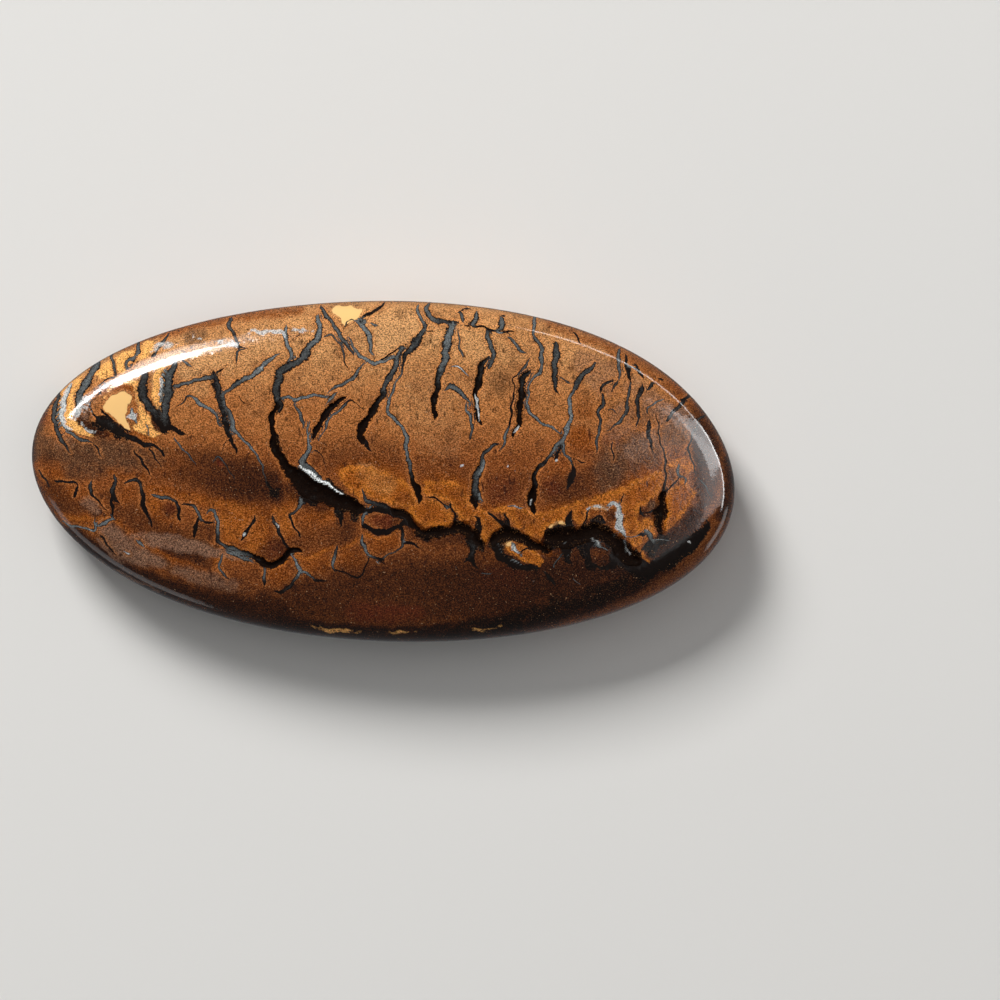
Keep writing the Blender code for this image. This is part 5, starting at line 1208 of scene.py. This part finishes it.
# The floor
# A plain matt board, pale and without a pattern, wide enough to fill every view. It lies a hair
# below the base, and the polish doesn't mirror it, so cards under it can light the stone's foot.
FLOOR_SIZE = 3.0
FLOOR_DROP = 0.02 * MM
floor_mesh = bpy.data.meshes.new("floor")
half = FLOOR_SIZE / 2
floor_mesh.from_pydata([(-half, -half, -FLOOR_DROP), (half, -half, -FLOOR_DROP),
                        (half, half, -FLOOR_DROP), (-half, half, -FLOOR_DROP)], [], [(0, 1, 2, 3)])
floor = bpy.data.objects.new("floor", floor_mesh)
bpy.context.collection.objects.link(floor)
board = bpy.data.materials.new("matt_board")
board.use_nodes = True
board_shader = board.node_tree.nodes["Principled BSDF"]
board_shader.inputs["Base Color"].default_value = linear("DEDCD8")
board_shader.inputs["Roughness"].default_value = 0.8
floor_mesh.materials.append(board)
floor.visible_glossy = False

# The light
# A soft box at the upper left is the main light, and a wide one overhead fills the shadow. The
# rest are cards that only the polish mirrors: a strip at the upper left, panels at the right,
# and thin strips low down round the edge.
CENTRE_HEIGHT = 4 * MM


def soft_box(name, azimuth, tilt, distance, width, height, power, diffuse=True, glossy=True):
    """Area light at an azimuth from +X and a tilt from straight up, turned to the stone. Its
    width lies along the tilt and its height sideways, in metres, and its power is in watts."""
    data = bpy.data.lights.new(name, "AREA")
    data.shape = "RECTANGLE"
    data.size, data.size_y, data.energy = width, height, power
    box = bpy.data.objects.new(name, data)
    azimuth, tilt = math.radians(azimuth), math.radians(tilt)
    box.location = (distance * math.sin(tilt) * math.cos(azimuth),
                    distance * math.sin(tilt) * math.sin(azimuth),
                    CENTRE_HEIGHT + distance * math.cos(tilt))
    box.rotation_euler = (0, tilt, azimuth)
    box.visible_diffuse = diffuse
    box.visible_glossy = glossy
    bpy.context.collection.objects.link(box)


soft_box("key", 118, 50, 0.6, 0.22, 0.22, 3.8, glossy=False)
soft_box("fill", 118, 5, 1.0, 1.2, 1.2, 2.65, glossy=False)
for card in (
        ("glint_left", 134, 52, 0.6, 0.035, 0.20, 1.75),
        ("glint_middle", 119, 46, 0.6, 0.10, 0.12, 2.7),
        ("glint_thin", 109, 48, 0.6, 0.02, 0.05, 0.22),
        ("glint_veil", 120, 56, 0.6, 0.12, 0.30, 0.54),
        ("glint_top", 114, 60, 0.6, 0.16, 0.09, 0.32),
        ("right_panel", 8, 54.7, 0.5, 0.68, 0.32, 2.0),
        ("right_panel_top", 26, 61.5, 0.5, 0.52, 0.18, 2.0),
        ("right_wedge", -28, 20.0, 0.5, 0.065, 0.13, 0.021),
        ("right_step", 10, 18.2, 0.5, 0.045, 0.11, 0.032),
        ("edge_back", 55, 80, 0.7, 0.05, 0.55, 1.0),
        ("edge_right", 10, 85, 0.7, 0.06, 0.60, 1.8),
        ("edge_front", 228, 112, 0.7, 0.25, 0.50, 0.30),
        ("edge_front_right", -25, 115, 0.7, 0.25, 0.30, 0.30)):
    soft_box(*card, diffuse=False)

# A weak, slightly cool glow from all round.
world = bpy.data.worlds.new("studio")
world.use_nodes = True
glow = world.node_tree.nodes["Background"]
glow.inputs["Color"].default_value = (0.8, 0.82, 0.85, 1.0)
glow.inputs["Strength"].default_value = 0.13
bpy.context.scene.world = world
bpy.context.scene.view_settings.view_transform = "Standard"

# The camera
# It looks straight down, as the photograph does, through a long lens, and has the stone left of
# the middle and a little above it.
VIEW_WIDTH = 53.4 * MM
VIEW_CENTRE = (6.262 * MM, -1.535 * MM)
VIEW_HEIGHT = 5.0 * MM
CAMERA_DISTANCE = 0.45
SENSOR_WIDTH = 36.0
lens_data = bpy.data.cameras.new("camera")
lens_data.sensor_width = SENSOR_WIDTH
lens_data.lens = SENSOR_WIDTH * CAMERA_DISTANCE / VIEW_WIDTH
lens_data.clip_start = 0.01
camera = bpy.data.objects.new("camera", lens_data)
camera.location = (VIEW_CENTRE[0], VIEW_CENTRE[1], VIEW_HEIGHT + CAMERA_DISTANCE)
bpy.context.collection.objects.link(camera)
bpy.context.scene.camera = camera
